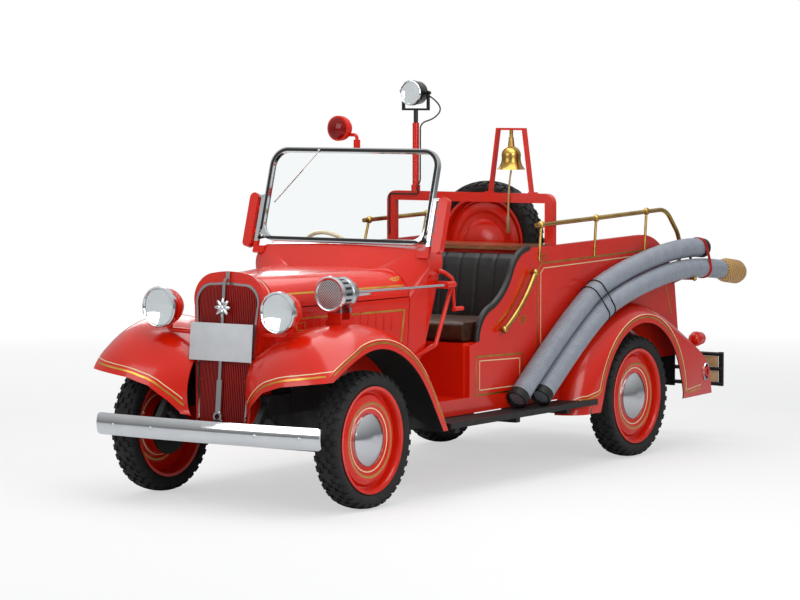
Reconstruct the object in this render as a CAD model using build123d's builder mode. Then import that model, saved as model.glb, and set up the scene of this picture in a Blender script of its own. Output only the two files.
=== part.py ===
import os
from math import asin, atan2, cos, degrees, radians, sin, sqrt
from build123d import *

os.makedirs("parts", exist_ok=True)

# Layout, millimetres: the vehicle faces -Y, +X is its left side, Z = 0 is the ground
wheelbase = 3130
front_axle_y = -2030
rear_axle_y = front_axle_y + wheelbase
seam = 3
running_gap = 0.3

# Wheels and tyres
tyre_r = 406.5
tyre_w = 164
wheel_x = 744
rim_seat_r = 299.7
bead_w = 125
bead_top_r = 318
sidewall_r = 358
shoulder_r = 395
tread_w = 138
hubcap_r = 152
hubcap_proud = 90
hubcap_base = 50
drum_r = 176
spindle_r = 25
spindle_end = 32
axle_z = tyre_r

# Steering
kingpin_x = 612
kingpin_r = 13.7
axle_boss_r = 34
axle_boss_h = 90
steer_arm = 150
tie_rod_r = 12

# Chassis
rail_x = 360
rail_w = 60
rail_h = 120
rail_z = 560
rail_drop_z = 395
rail_wall = 8
frame_front_y = front_axle_y - 440
frame_rear_y = rear_axle_y + 900
spring_w = 50

# Front end
bumper_half = 815
bumper_front_y = front_axle_y - 585
bumper_bow = 43
bumper_t = 12
bumper_z = 393
bumper_h = 130
nose_y = front_axle_y - 235
hood_rear_y = front_axle_y + 745
hood_wall = 12
hood_bottom_z = 812
hood_heel_z = 580
hood_top_z = 1370
belt_front_z = 1165
belt_rear_z = 1195
grille_lean = 5
grille_foot_z = 470
grille_foot_y = front_axle_y - 375
grille_h = 915
lamp_x = 433
lamp_y = front_axle_y - 416
lamp_z = 1161
lamp_r = 121
lamp_depth = 195

# Cab
sill_z = 445
cowl_rear_y = front_axle_y + 1005
cowl_wall = 20
firewall_t = 15
floor_z = 520
floor_t = 25
seat_box_y = front_axle_y + 1240
cowl_foot_y = front_axle_y + 790
screen_y = front_axle_y + 850
cowl_mid_y = screen_y - 6
screen_z = 1500
screen_h = 605
screen_half = 634
screen_rake = 16.4
screen_bar = 34

# Body
body_half = 680
body_wall = 35
body_in = body_half - body_wall
bulkhead_y = front_axle_y + 2010
locker_rear_y = bulkhead_y + 290
bed_floor_z = 1030
body_rear_y = rear_axle_y + 830
board_t = 26
board_z = 1424

# Hoop, mast, lamp and bell
hoop_y = front_axle_y + 2333
hoop_half = 651
hoop_top_z = 1773
hoop_bar = 62
hoop_depth = 46
mast_x = -430
mast_r = 22
mast_top_z = 2225
search_z = 2423
search_r = 84
bell_x = 315
bell_mouth_z = 1926
bell_r = 93
bell_h = 150

# Fenders and boards
fender_out = 870
fender_t = 8
board_out = 866
board_in = 684
board_top_z = 440
board_front_y = front_axle_y + 760
board_rear_y = rear_axle_y - 610

# Hoses
hose_r = 67
hose_bend = 2000
hose_in_x = body_half + hose_r + 5
hose_out_x = fender_out - hose_r - 3
basket_r = 84
basket_x = fender_out - basket_r - 2

wheel_rows = (
    ("front_left", 1, front_axle_y),
    ("front_right", -1, front_axle_y),
    ("rear_left", 1, rear_axle_y),
    ("rear_right", -1, rear_axle_y),
)


def side_sheet(x):
    return Plane.YZ.offset(x)


def front_sheet(y):
    return Plane.XZ.offset(-y)


def hub_plane(x, y, z, side):
    return Plane(origin=(x, y, z), x_dir=(side, 0, 0), z_dir=(0, -side, 0))


def lay_tube(points, bend, radius):
    with BuildLine() as run:
        if bend:
            FilletPolyline(*points, radius=bend)
        else:
            Polyline(*points)
    track = run.wires()[0]
    with BuildSketch(Plane(origin=track @ 0, z_dir=track % 0)) as ring:
        Circle(radius)
    sweep(sections=ring.sketch, path=track)


def lay_block(x0, x1, y0, y1, z0, z1, mode=Mode.ADD):
    with Locations(((x0 + x1) / 2, (y0 + y1) / 2, (z0 + z1) / 2)):
        Box(x1 - x0, y1 - y0, z1 - z0, mode=mode)


def lay_rod(start, end, radius, mode=Mode.ADD):
    along = Vector(*end) - Vector(*start)
    with Locations(Plane(origin=start, z_dir=along).location):
        Cylinder(radius, along.length, align=(Align.CENTER, Align.CENTER, Align.MIN), mode=mode)


def spin_profile(plane, points):
    with BuildSketch(plane) as half:
        with BuildLine():
            Polyline(*points, close=True)
        make_face()
    revolve(profiles=half.sketch, axis=Axis(plane.origin, plane.x_dir))


def arch_face(y, foot, belt, shoulder, edge, crown, inset=0):
    fx, fz = foot
    bx, bz = belt
    sx, sz = shoulder
    ex, ez = edge
    with BuildSketch(front_sheet(y)) as arch:
        with BuildLine():
            Line((inset - fx, fz), (fx - inset, fz))
            Line((fx - inset, fz), (bx - inset, bz))
            ThreePointArc((bx - inset, bz), (sx - 0.8 * inset, sz - 0.6 * inset), (ex, ez - inset))
            ThreePointArc((ex, ez - inset), (0, crown - inset), (-ex, ez - inset))
            ThreePointArc((-ex, ez - inset), (0.8 * inset - sx, sz - 0.6 * inset), (inset - bx, bz))
            Line((inset - bx, bz), (inset - fx, fz))
        make_face()
    return arch.sketch


# Section rows of the nose, hood and cowl: foot, belt, shoulder, top edge, crown height
nose_row = ((252, 640), (282, 1120), (248, 1275), (130, 1352), hood_top_z)
hood_front_row = ((262, hood_bottom_z), (282, 1120), (248, 1275), (130, 1352), hood_top_z)
hood_rear_row = ((552, hood_heel_z), (578, 1150), (528, 1300), (330, 1356), hood_top_z)
cowl_front_row = ((540, sill_z), (578, 1150), (528, 1300), (330, 1356), hood_top_z)
cowl_mid_row = ((606, sill_z), (640, 1300), (628, 1434), (560, 1478), 1492)
cowl_rear_row = ((640, sill_z), (652, 1330), (636, 1455), (560, 1496), 1508)


def grow_row(row, by):
    foot, belt, shoulder, edge, crown = row
    return ((foot[0] + by, foot[1] - by), (belt[0] + by, belt[1]), (shoulder[0] + by, shoulder[1] + by), (edge[0], edge[1] + by), crown + by)


def envelope(y0, row0, y1, row1, inset=0):
    loft(sections=[arch_face(y0, *row0, inset=inset), arch_face(y1, *row1, inset=inset)])


def cowl_envelope(grow=0):
    envelope(hood_rear_y, grow_row(cowl_front_row, grow), cowl_mid_y, grow_row(cowl_mid_row, grow))
    envelope(cowl_mid_y, grow_row(cowl_mid_row, grow), cowl_rear_y, grow_row(cowl_rear_row, grow))


def wheel_tyre(hub):
    half_bead = bead_w / 2
    half_tread = tread_w / 2
    half_tyre = tyre_w / 2
    seat_r = rim_seat_r + running_gap
    with BuildPart() as ring:
        with BuildSketch(hub) as section:
            with BuildLine():
                Line((-half_bead, seat_r), (half_bead, seat_r))
                Line((half_bead, seat_r), (half_bead, bead_top_r))
                ThreePointArc((half_bead, bead_top_r), (half_tyre, sidewall_r), (half_tread, shoulder_r))
                ThreePointArc((half_tread, shoulder_r), (0, tyre_r), (-half_tread, shoulder_r))
                ThreePointArc((-half_tread, shoulder_r), (-half_tyre, sidewall_r), (-half_bead, bead_top_r))
                Line((-half_bead, bead_top_r), (-half_bead, seat_r))
            make_face()
        revolve(profiles=section.sketch, axis=Axis(hub.origin, hub.x_dir))
    return ring.part


def wheel_disc(hub):
    seat = bead_w / 2
    bore_r = spindle_r + running_gap
    points = (
        (hubcap_base, hubcap_r), (38, hubcap_r + 4), (44, 190), (52, 212), (52, 232), (40, 262), (22, 276),
        (22, 286), (58, 292), (70, 298), (73, 316), (67, 316), (64.5, 304), (seat, rim_seat_r),
        (-seat, rim_seat_r), (-64.5, 304), (-67, 316), (-73, 316), (-70, 298), (-58, 290), (-20, 280),
        (6, 280), (16, 262), (28, 232), (28, 212), (20, 190), (8, drum_r), (-52, drum_r), (-52, drum_r - 16),
        (-4, drum_r - 16), (-4, 62), (-46, 62), (-46, bore_r), (spindle_end + 2, bore_r), (spindle_end + 2, 0),
    )
    with BuildPart() as disc:
        with BuildSketch(hub) as section:
            with BuildLine():
                ThreePointArc((hubcap_proud, 0), (hubcap_proud - 12, 0.62 * hubcap_r), (hubcap_base, hubcap_r))
                Polyline(*points)
                Line(points[-1], (hubcap_proud, 0))
            make_face()
        revolve(profiles=section.sketch, axis=Axis(hub.origin, hub.x_dir))
    return disc.part


parts = {}

for name, side, axle_y in wheel_rows:
    hub = hub_plane(side * wheel_x, axle_y, axle_z, side)
    parts["tyre_" + name] = wheel_tyre(hub)
    parts["wheel_" + name] = wheel_disc(hub)

spare_y = locker_rear_y + 250
spare_z = bed_floor_z + tyre_r + running_gap
spare_hub = Plane(origin=(0, spare_y, spare_z), x_dir=(0, -1, 0), z_dir=(-1, 0, 0))
parts["spare_tyre"] = wheel_tyre(spare_hub)
parts["spare_wheel"] = wheel_disc(spare_hub)

# Knuckle: forked stub axle with its kingpin, backing plate and steering arm
fork_in = axle_boss_h / 2 + seam
fork_out = fork_in + 24
web_x = kingpin_x + axle_boss_r + 6
plate_x = wheel_x - 63
with BuildPart() as knuckle:
    lay_rod((web_x, front_axle_y, axle_z), (wheel_x + spindle_end, front_axle_y, axle_z), spindle_r)
    lay_rod((plate_x, front_axle_y, axle_z), (plate_x + 8, front_axle_y, axle_z), drum_r)
    lay_block(web_x, web_x + 20, front_axle_y - 36, front_axle_y + 36, axle_z - fork_out, axle_z + fork_out)
    for low, high in ((-fork_out, -fork_in), (fork_in, fork_out)):
        lay_rod((kingpin_x, front_axle_y, axle_z + low), (kingpin_x, front_axle_y, axle_z + high), 32)
        lay_block(kingpin_x, web_x + 1, front_axle_y - 30, front_axle_y + 30, axle_z + low, axle_z + high)
    lay_rod((kingpin_x, front_axle_y, axle_z - fork_out), (kingpin_x, front_axle_y, axle_z + fork_out), kingpin_r)
    arm_low = axle_z - fork_out
    lay_block(kingpin_x - 34, kingpin_x - 4, front_axle_y + 10, front_axle_y + steer_arm, arm_low, arm_low + 18)
    lay_rod((kingpin_x - 19, front_axle_y + steer_arm, arm_low), (kingpin_x - 19, front_axle_y + steer_arm, arm_low + 18), 22)
parts["knuckle_left"] = knuckle.part
parts["knuckle_right"] = mirror(knuckle.part, about=Plane.YZ)

# Tie rod: hangs under the steering arms by its ball ends
tie_z = axle_z - fork_out - seam - 30
with BuildPart() as tie_rod:
    tie_x = kingpin_x - 19
    lay_rod((-tie_x, front_axle_y + steer_arm, tie_z), (tie_x, front_axle_y + steer_arm, tie_z), tie_rod_r)
    for side in (-1, 1):
        lay_rod((side * tie_x, front_axle_y + steer_arm, tie_z - 20), (side * tie_x, front_axle_y + steer_arm, tie_z + 32.4), 18)
parts["tie_rod"] = tie_rod.part


def leaf_pack(side, axle_y, seat_z, half_len):
    top_mid = seat_z + 46
    with BuildSketch(side_sheet(side * rail_x - spring_w / 2)) as pack:
        with BuildLine():
            ThreePointArc((axle_y - half_len, rail_z), (axle_y, top_mid), (axle_y + half_len, rail_z))
            Line((axle_y + half_len, rail_z), (axle_y + half_len, rail_z - 14))
            ThreePointArc((axle_y + half_len, rail_z - 14), (axle_y, seat_z), (axle_y - half_len, rail_z - 14))
            Line((axle_y - half_len, rail_z - 14), (axle_y - half_len, rail_z))
        make_face()
    extrude(pack.sketch, amount=spring_w)
    for end in (-1, 1):
        y = axle_y + end * (half_len - 15)
        lay_block(side * rail_x - spring_w / 2, side * rail_x + spring_w / 2, y - 15, y + 15, rail_z - 16, rail_z)


# Front axle: dropped beam with kingpin bosses and its two leaf springs
with BuildPart() as front_axle:
    drop = 38
    with BuildSketch(front_sheet(front_axle_y + 26)) as beam:
        with BuildLine():
            Polyline(
                (-kingpin_x, -28 + axle_z), (-kingpin_x, 28 + axle_z), (-490, 28 + axle_z),
                (-440, 28 - drop + axle_z), (440, 28 - drop + axle_z), (490, 28 + axle_z),
                (kingpin_x, 28 + axle_z), (kingpin_x, -28 + axle_z), (480, -28 + axle_z),
                (430, -28 - drop + axle_z), (-430, -28 - drop + axle_z), (-480, -28 + axle_z), close=True,
            )
        make_face()
    extrude(beam.sketch, amount=52)
    for side in (-1, 1):
        with Locations((side * kingpin_x, front_axle_y, axle_z)):
            Cylinder(axle_boss_r, axle_boss_h)
        leaf_pack(side, front_axle_y, axle_z + 28 - drop, 430)
        seat_x = side * rail_x
        seat_z = axle_z + 28 - drop
        lay_block(seat_x - 34, seat_x + 34, front_axle_y - 24, front_axle_y + 24, seat_z - 6, seat_z + 54)
    for side in (-1, 1):
        with Locations((side * kingpin_x, front_axle_y, axle_z)):
            Cylinder(kingpin_r + running_gap, axle_boss_h + 2, mode=Mode.SUBTRACT)
parts["front_axle"] = front_axle.part

# Rear axle: banjo housing, torque tube, backing plates, stub spindles and leaf springs
gearbox_rear_y = front_axle_y + 1080
with BuildPart() as rear_axle:
    lay_rod((-plate_x, rear_axle_y, axle_z), (plate_x, rear_axle_y, axle_z), 42)
    with Locations((0, rear_axle_y, axle_z)):
        Sphere(135)
    lay_rod((0, gearbox_rear_y, axle_z), (0, rear_axle_y, axle_z), 38)
    for side in (-1, 1):
        lay_rod((side * plate_x, rear_axle_y, axle_z), (side * (wheel_x + spindle_end), rear_axle_y, axle_z), spindle_r)
        lay_rod((side * plate_x, rear_axle_y, axle_z), (side * (plate_x + 8), rear_axle_y, axle_z), drum_r)
        leaf_pack(side, rear_axle_y, axle_z + 40, 560)
parts["rear_axle"] = rear_axle.part

# Chassis frame: channel rails, cross members, bumper irons and board brackets
bracket_rows = (board_front_y + 120, (board_front_y + board_rear_y) / 2 - 60, board_rear_y - 320)
board_under_z = board_top_z - 36
rail_line = (
    (frame_front_y, rail_z), (front_axle_y + 440, rail_z), (front_axle_y + 660, rail_drop_z),
    (rear_axle_y - 840, rail_drop_z), (rear_axle_y - 600, rail_z), (frame_rear_y, rail_z),
)
with BuildPart() as chassis_frame:
    for side in (-1, 1):
        with BuildSketch(side_sheet(side * rail_x - rail_w / 2)) as rail_form:
            with BuildLine():
                Polyline(*rail_line, *[(y, z + rail_h) for y, z in reversed(rail_line)], close=True)
            make_face()
        extrude(rail_form.sketch, amount=rail_w)
        with BuildSketch(side_sheet(side * rail_x - 20)) as iron:
            with BuildLine():
                Polyline(
                    (frame_front_y - 4, rail_z + 10), (frame_front_y + 70, rail_z + 10),
                    (frame_front_y + 70, rail_z + 80), (frame_front_y - 4, rail_z + 80),
                    (bumper_front_y + 33, bumper_z + 100), (bumper_front_y + 33, bumper_z + 30), close=True,
                )
            make_face()
        extrude(iron.sketch, amount=40)
        for y in bracket_rows:
            reach = sorted((side * (rail_x - 20), side * (board_out - 30)))
            lay_block(reach[0], reach[1], y - 25, y + 25, board_under_z - 34, board_under_z)
    for y, low, high in (
        (nose_y + 70, rail_z + 20, rail_z + 100), (gearbox_rear_y + 60, rail_drop_z + 68, rail_drop_z + 116),
        (rear_axle_y - 420, rail_z + 20, rail_z + 100), (frame_rear_y - 60, rail_z + 20, rail_z + 100),
    ):
        lay_block(-rail_x, rail_x, y - 30, y + 30, low, high)
parts["chassis_frame"] = chassis_frame.part

# Splash panels: upright sheets on the rails' outer faces, inside the front arches and behind the rear wheels
panel_t = 6
panel_in = rail_x + rail_w / 2 + running_gap
with BuildPart() as splash_panels:
    lay_block(panel_in, panel_in + panel_t, nose_y + 12, front_axle_y + 150, rail_z + 10, rail_z + 280)
    lay_block(panel_in, body_in - 6, frame_rear_y - 64, frame_rear_y - 64 + panel_t, rail_z - 160, rail_z + 110)
    mirror(about=Plane.YZ)
parts["splash_panels"] = splash_panels.part

# Engine and gearbox: plain blocks with the exhaust line
with BuildPart() as engine_gearbox:
    lay_block(-170, 170, front_axle_y - 90, front_axle_y + 610, 405 + 50, 1150)
    lay_block(-170, 170, front_axle_y + 60, front_axle_y + 610, 390, 470)
    lay_block(-105, 105, front_axle_y + 600, gearbox_rear_y, 345, floor_z - 8)
    exhaust_x = -240
    exhaust_z = 425
    pipe_end_y = rear_axle_y - 330
    lay_tube(
        ((-150, front_axle_y + 420, exhaust_z), (exhaust_x, front_axle_y + 420, exhaust_z), (exhaust_x, pipe_end_y, exhaust_z)), 60, 27,
    )
    lay_rod((exhaust_x, rear_axle_y - 1300, exhaust_z), (exhaust_x, rear_axle_y - 860, exhaust_z), 64)
parts["engine_gearbox"] = engine_gearbox.part

# Bumper: one bowed bar
with BuildPart() as front_bumper:
    end_y = bumper_front_y + bumper_bow
    bow_r = (bumper_half ** 2 + bumper_bow ** 2) / (2 * bumper_bow)
    bow_mid = bumper_front_y + bow_r - sqrt(bow_r ** 2 - bumper_half ** 2 / 4)
    with BuildSketch(Plane.XY.offset(bumper_z)) as bow:
        with BuildLine():
            ThreePointArc((-bumper_half, end_y), (-bumper_half / 2 - 3, bow_mid), (-6, bumper_front_y))
            Line((-6, bumper_front_y), (6, bumper_front_y))
            ThreePointArc((6, bumper_front_y), (bumper_half / 2 + 3, bow_mid), (bumper_half, end_y))
            Line((bumper_half, end_y), (bumper_half, end_y + bumper_t))
            ThreePointArc(
                (bumper_half, end_y + bumper_t), (0, bumper_front_y + bumper_t), (-bumper_half, end_y + bumper_t),
            )
            Line((-bumper_half, end_y + bumper_t), (-bumper_half, end_y))
        make_face()
    extrude(bow.sketch, amount=bumper_h)
    fillet(front_bumper.edges().filter_by(Axis.Y), 20)
    iron_y = bumper_front_y + 33
    for side in (-1, 1):
        bow_back = bumper_front_y + bow_r + bumper_t - sqrt(bow_r ** 2 - rail_x ** 2)
        lay_block(side * rail_x - 18, side * rail_x + 18, bow_back - 6, iron_y, bumper_z + 34, bumper_z + 96)
parts["front_bumper"] = front_bumper.part

# Radiator shell: lofted from the leaning front outline to the hood section
lean_c = cos(radians(grille_lean))
lean_s = sin(radians(grille_lean))
grille_plane = Plane(origin=(0, grille_foot_y, grille_foot_z), x_dir=(1, 0, 0), z_dir=(0, -lean_c, lean_s))


def shield_face(plane, foot, waist, brow, edge, crown):
    fx, fy = foot
    wx, wy = waist
    bx, by = brow
    ex, ey = edge
    with BuildSketch(plane) as shield:
        with BuildLine():
            Line((-fx, fy), (fx, fy))
            Line((fx, fy), (wx, wy))
            ThreePointArc((wx, wy), (bx, by), (ex, ey))
            ThreePointArc((ex, ey), (0, crown), (-ex, ey))
            ThreePointArc((-ex, ey), (-bx, by), (-wx, wy))
            Line((-wx, wy), (-fx, fy))
        make_face()
    return shield.sketch


shell_front = ((192, 0), (246, 705), (220, 848), (113, 904), grille_h)
opening = ((160, 22), (214, 702), (190, 798), (102, 830), 836)


def nose_envelope(grow=0):
    front = shield_face(grille_plane.offset(grow), *grow_row(shell_front, grow))
    back = arch_face(nose_y + grow, *grow_row(nose_row, grow))
    loft(sections=[front, back])


with BuildPart() as grille_shell:
    nose_envelope()
    throat = shield_face(grille_plane.offset(60), *opening)
    extrude(throat, amount=-340, mode=Mode.SUBTRACT)
parts["grille_shell"] = grille_shell.part

# Grille: a V of fine upright bars on a dark core
bar_count = 17
bar_pitch = 11.6
bar_w = 5.5
vee_rise = 34
grille_h_in = opening[4]
with BuildPart() as grille_bars:
    core = shield_face(grille_plane.offset(-66), *opening)
    extrude(core, amount=24)
    for side in (-1, 1):
        for step in range(bar_count):
            x = side * (14 + bar_pitch * step)
            lift = vee_rise * (1 - abs(x) / opening[1][0])
            with Locations(grille_plane.location * Location((x, grille_h_in / 2, (lift - 64) / 2))):
                Box(bar_w, grille_h_in, 64 + lift)
    with Locations(grille_plane.location * Location((0, 276, -20))):
        Box(2 * opening[1][0], 12, 52)
    keep = shield_face(grille_plane.offset(80), *grow_row(opening, -0.4))
    extrude(keep, amount=-200, mode=Mode.INTERSECT)
parts["grille_bars"] = grille_bars.part

# Chrome: surround on the shell's face, centre bar, boss and the starting-crank ferrule
with BuildPart() as grille_trim:
    rim_out = shield_face(grille_plane, (173, 9), (227, 706), (201, 809), (108, 843), 849)
    rim_in = shield_face(grille_plane, *opening)
    extrude(rim_out, amount=9)
    extrude(rim_in, amount=20, both=True, mode=Mode.SUBTRACT)
    with Locations(grille_plane.location * Location((0, 435, vee_rise + 8))):
        Box(20, 842, 18)
    with Locations(grille_plane.location * Location((0, 150, vee_rise + 8))):
        Box(36, 252, 18)
    with Locations(grille_plane.location * Location((0, 860, 21))):
        Box(20, 24, 42)
    with Locations(grille_plane.location * Location((0, 700, vee_rise + 12))):
        Cylinder(34, 22)
    with Locations(grille_plane.location * Location((0, 16, 22))):
        Box(20, 16, 42)
    with Locations(grille_plane.location * Location((0, 60, vee_rise + 10))):
        Cylinder(30, 24)
    with Locations(grille_plane.location * Location((0, 60, 10))):
        Cylinder(17, 140, mode=Mode.SUBTRACT)
    with Locations(grille_plane.location * Location((0, 880, 9.1))):
        Box(26, 62, 18)
parts["grille_trim"] = grille_trim.part

# Headlamps: red buckets with chrome rims on bent stalks from the shell's flanks
with BuildPart() as headlamp_shells:
    lamp_axis = Plane(origin=(lamp_x, lamp_y, lamp_z), x_dir=(0, 1, 0), z_dir=(1, 0, 0))
    with BuildSketch(lamp_axis) as bucket:
        with BuildLine():
            Line((lamp_depth, 0), (24, 0))
            Line((24, 0), (24, lamp_r - 12))
            Line((24, lamp_r - 12), (-4, lamp_r - 12))
            Line((-4, lamp_r - 12), (-4, lamp_r - 6))
            ThreePointArc((-4, lamp_r - 6), (10, lamp_r), (30, lamp_r - 4))
            ThreePointArc((30, lamp_r - 4), (125, 88), (lamp_depth, 0))
        make_face()
    revolve(profiles=bucket.sketch, axis=Axis(lamp_axis.origin, lamp_axis.x_dir))
    stalk_y = lamp_y + 95
    lay_rod((lamp_x, stalk_y, lamp_z - 90), (lamp_x, stalk_y, lamp_z - 122), 22)
    lay_tube(
        ((lamp_x, stalk_y, lamp_z - 110), (lamp_x, stalk_y, lamp_z - 138), (200, stalk_y + 30, lamp_z - 148)), 24, 15,
    )
    with BuildPart(mode=Mode.PRIVATE) as nose_solid:
        nose_envelope(0.3)
    add(nose_solid.part, mode=Mode.SUBTRACT)
    headlamp_solid = headlamp_shells.part.solids().sort_by(Axis.X)[-1]
with BuildPart() as headlamp_pair:
    add(headlamp_solid)
    mirror(about=Plane.YZ)
parts["headlamp_shells"] = headlamp_pair.part

lens_r = lamp_r - 12.2
lens_bow_r = (lens_r ** 2 + 13 ** 2) / 26
with BuildPart() as headlamp_lenses:
    with BuildSketch(lamp_axis) as glass:
        with BuildLine():
            Line((23.8, 0), (23.8, lens_r))
            Line((23.8, lens_r), (2, lens_r))
            ThreePointArc((2, lens_r), (lens_bow_r - 11 - sqrt(lens_bow_r ** 2 - 60 ** 2), 60), (-11, 0))
            Line((-11, 0), (23.8, 0))
        make_face()
    revolve(profiles=glass.sketch, axis=Axis(lamp_axis.origin, lamp_axis.x_dir))
    mirror(about=Plane.YZ)
parts["headlamp_lenses"] = headlamp_lenses.part

# Hood: one thin arch, parted along the belt line and the centre line
hood_gap = 5.5
hood_front_y = nose_y + hood_gap
hood_back_y = hood_rear_y - hood_gap
belt_slope = degrees(atan2(belt_rear_z - belt_front_z, hood_rear_y - nose_y))
belt_plane = Plane(origin=(0, nose_y, belt_front_z), x_dir=(1, 0, 0), z_dir=(0, -sin(radians(belt_slope)), cos(radians(belt_slope))))


def hood_arch():
    envelope(nose_y, hood_front_row, hood_rear_y, hood_rear_row)
    inner_front = arch_face(nose_y, *hood_front_row, inset=hood_wall)
    inner_rear = arch_face(hood_rear_y, *hood_rear_row, inset=hood_wall)
    loft(sections=[inner_front, inner_rear], mode=Mode.SUBTRACT)
    lay_block(-900, 900, nose_y - 200, hood_front_y, 0, 2000, mode=Mode.SUBTRACT)
    lay_block(-900, 900, hood_back_y, hood_rear_y + 200, 0, 2000, mode=Mode.SUBTRACT)


with BuildPart() as hood_top_left:
    hood_arch()
    split(bisect_by=belt_plane.offset(3), keep=Keep.TOP)
    split(bisect_by=Plane.YZ.offset(4), keep=Keep.TOP)
parts["hood_top_left"] = hood_top_left.part
parts["hood_top_right"] = mirror(hood_top_left.part, about=Plane.YZ)

louvre_count = 13
louvre_pitch = 58
louvre_h = 96
with BuildPart() as hood_sides:
    hood_arch()
    split(bisect_by=belt_plane.offset(-3), keep=Keep.BOTTOM)
    split(bisect_by=Plane.YZ.offset(4), keep=Keep.TOP)
    for step in range(louvre_count):
        y = hood_front_y + 150 + louvre_pitch * step
        share = (y - nose_y) / (hood_rear_y - nose_y)
        foot_x = hood_front_row[0][0] + share * (hood_rear_row[0][0] - hood_front_row[0][0])
        belt_x = hood_front_row[1][0] + share * (hood_rear_row[1][0] - hood_front_row[1][0])
        z = 1045 + 30 * (1 - share)
        x = foot_x + (belt_x - foot_x) * (z - hood_bottom_z) / (1135 - hood_bottom_z)
        with Locations((x - 2, y, z)):
            Cylinder(9, louvre_h)
    mirror(about=Plane.YZ)
parts["hood_sides"] = hood_sides.part

# Cowl: hollow, open to the cab, its rear edge raked
with BuildPart() as cowl:
    cowl_envelope()
    inner_front = arch_face(hood_rear_y + firewall_t, *cowl_front_row, inset=cowl_wall)
    inner_mid = arch_face(cowl_mid_y, *cowl_mid_row, inset=cowl_wall)
    inner_rear = arch_face(cowl_rear_y + 2, *cowl_rear_row, inset=cowl_wall)
    loft(sections=[inner_front, inner_mid], mode=Mode.SUBTRACT)
    loft(sections=[inner_mid, inner_rear], mode=Mode.SUBTRACT)
    with BuildSketch(side_sheet(-900)) as rake:
        with BuildLine():
            Polyline(
                (cowl_rear_y + 60, 1560), (cowl_rear_y + 60, sill_z - 60), (cowl_foot_y + 25, sill_z - 60),
                (cowl_foot_y + 25, 800), (cowl_rear_y - 2, 1475), (cowl_rear_y - 2, 1560), close=True,
            )
        make_face()
    extrude(rake.sketch, amount=1800, mode=Mode.SUBTRACT)
    lay_block(-700, 700, hood_rear_y - 10, cowl_rear_y + 100, sill_z - 20, floor_z + floor_t + 0.1, mode=Mode.SUBTRACT)
    with BuildSketch(side_sheet(-610)) as dash:
        with BuildLine():
            Polyline(
                (cowl_rear_y - 46, 1484), (cowl_rear_y - 20, 1484), (cowl_rear_y - 62, 1330),
                (cowl_rear_y - 84, 1330), close=True,
            )
        make_face()
    extrude(dash.sketch, amount=1220)
    lay_rod((0, nose_y + 0.5, hood_top_z - 5), (0, hood_rear_y + 6, hood_top_z - 5), 3.4)
parts["cowl"] = cowl.part

# Cab floor with the sill channels and the seat box
with BuildPart() as cab_floor:
    lay_block(-body_in, body_in, hood_rear_y, bulkhead_y, floor_z, floor_z + floor_t)
    lay_block(-body_in, body_in, seat_box_y, bulkhead_y, floor_z, 880)
    lay_block(-330, 330, hood_rear_y + 40, hood_rear_y + 60, floor_z + floor_t, 700)
parts["cab_floor"] = cab_floor.part

# Body sides: sill, tool locker, S-shaped seat edge and the rounded tail
roll_r = 21
ess_y = seat_box_y


def ess_line():
    ThreePointArc((ess_y + 120, 885), (ess_y + 165, 1010), (ess_y + 290, 1090))
    ThreePointArc((ess_y + 290, 1090), (ess_y + 430, 1180), (ess_y + 515, 1290))
    ThreePointArc((ess_y + 515, 1290), (ess_y + 600, 1395), (ess_y + 730, 1438))


body_low_z = 620
arch_r = 452
with BuildPart() as body_sides:
    with BuildSketch(side_sheet(body_in)) as side_form:
        with BuildLine():
            ess_line()
            Line((ess_y + 730, 1438), (rear_axle_y + 270, 1466))
            ThreePointArc((rear_axle_y + 270, 1466), (rear_axle_y + 580, 1366), (rear_axle_y + 755, 1100))
            Line((rear_axle_y + 755, 1100), (body_rear_y, body_low_z))
            Line((body_rear_y, body_low_z), (board_rear_y + 60, body_low_z))
            Line((board_rear_y + 60, body_low_z), (board_rear_y + 60, sill_z))
            Line((board_rear_y + 60, sill_z), (cowl_foot_y + 28, sill_z))
            Line((cowl_foot_y + 28, sill_z), (cowl_foot_y + 28, floor_z + floor_t))
            Line((cowl_foot_y + 28, floor_z + floor_t), (seat_box_y + 20, floor_z + floor_t))
            Line((seat_box_y + 20, floor_z + floor_t), (seat_box_y + 20, 862))
            Line((seat_box_y + 20, 862), (ess_y + 120, 885))
        make_face()
    extrude(side_form.sketch, amount=body_wall)
    lay_rod((body_in - 5, rear_axle_y, axle_z), (body_half + 5, rear_axle_y, axle_z), arch_r, mode=Mode.SUBTRACT)
    locker_w = board_rear_y - seat_box_y - 250
    with Locations((body_half, seat_box_y + 90 + locker_w / 2, 665)):
        Box(6, locker_w, 270, mode=Mode.SUBTRACT)
    mirror(about=Plane.YZ)
roll_x = body_half - roll_r + 6


def lay_roll(radius):
    with BuildLine(side_sheet(roll_x)) as edge_line:
        ess_line()
    track = edge_line.wires()[0]
    with BuildSketch(Plane(origin=track @ 0, z_dir=track % 0)) as roll_ring:
        Circle(radius)
    sweep(sections=roll_ring.sketch, path=track)


with BuildPart() as seat_rolls:
    lay_roll(roll_r)
    mirror(about=Plane.YZ)
parts["seat_rolls"] = seat_rolls.part
with BuildPart() as roll_nest:
    lay_roll(roll_r + 0.6)
    mirror(about=Plane.YZ)
with BuildPart() as body_pair:
    add(body_sides.part)
    add(roll_nest.part, mode=Mode.SUBTRACT)
parts["body_sides"] = body_pair.part

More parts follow.
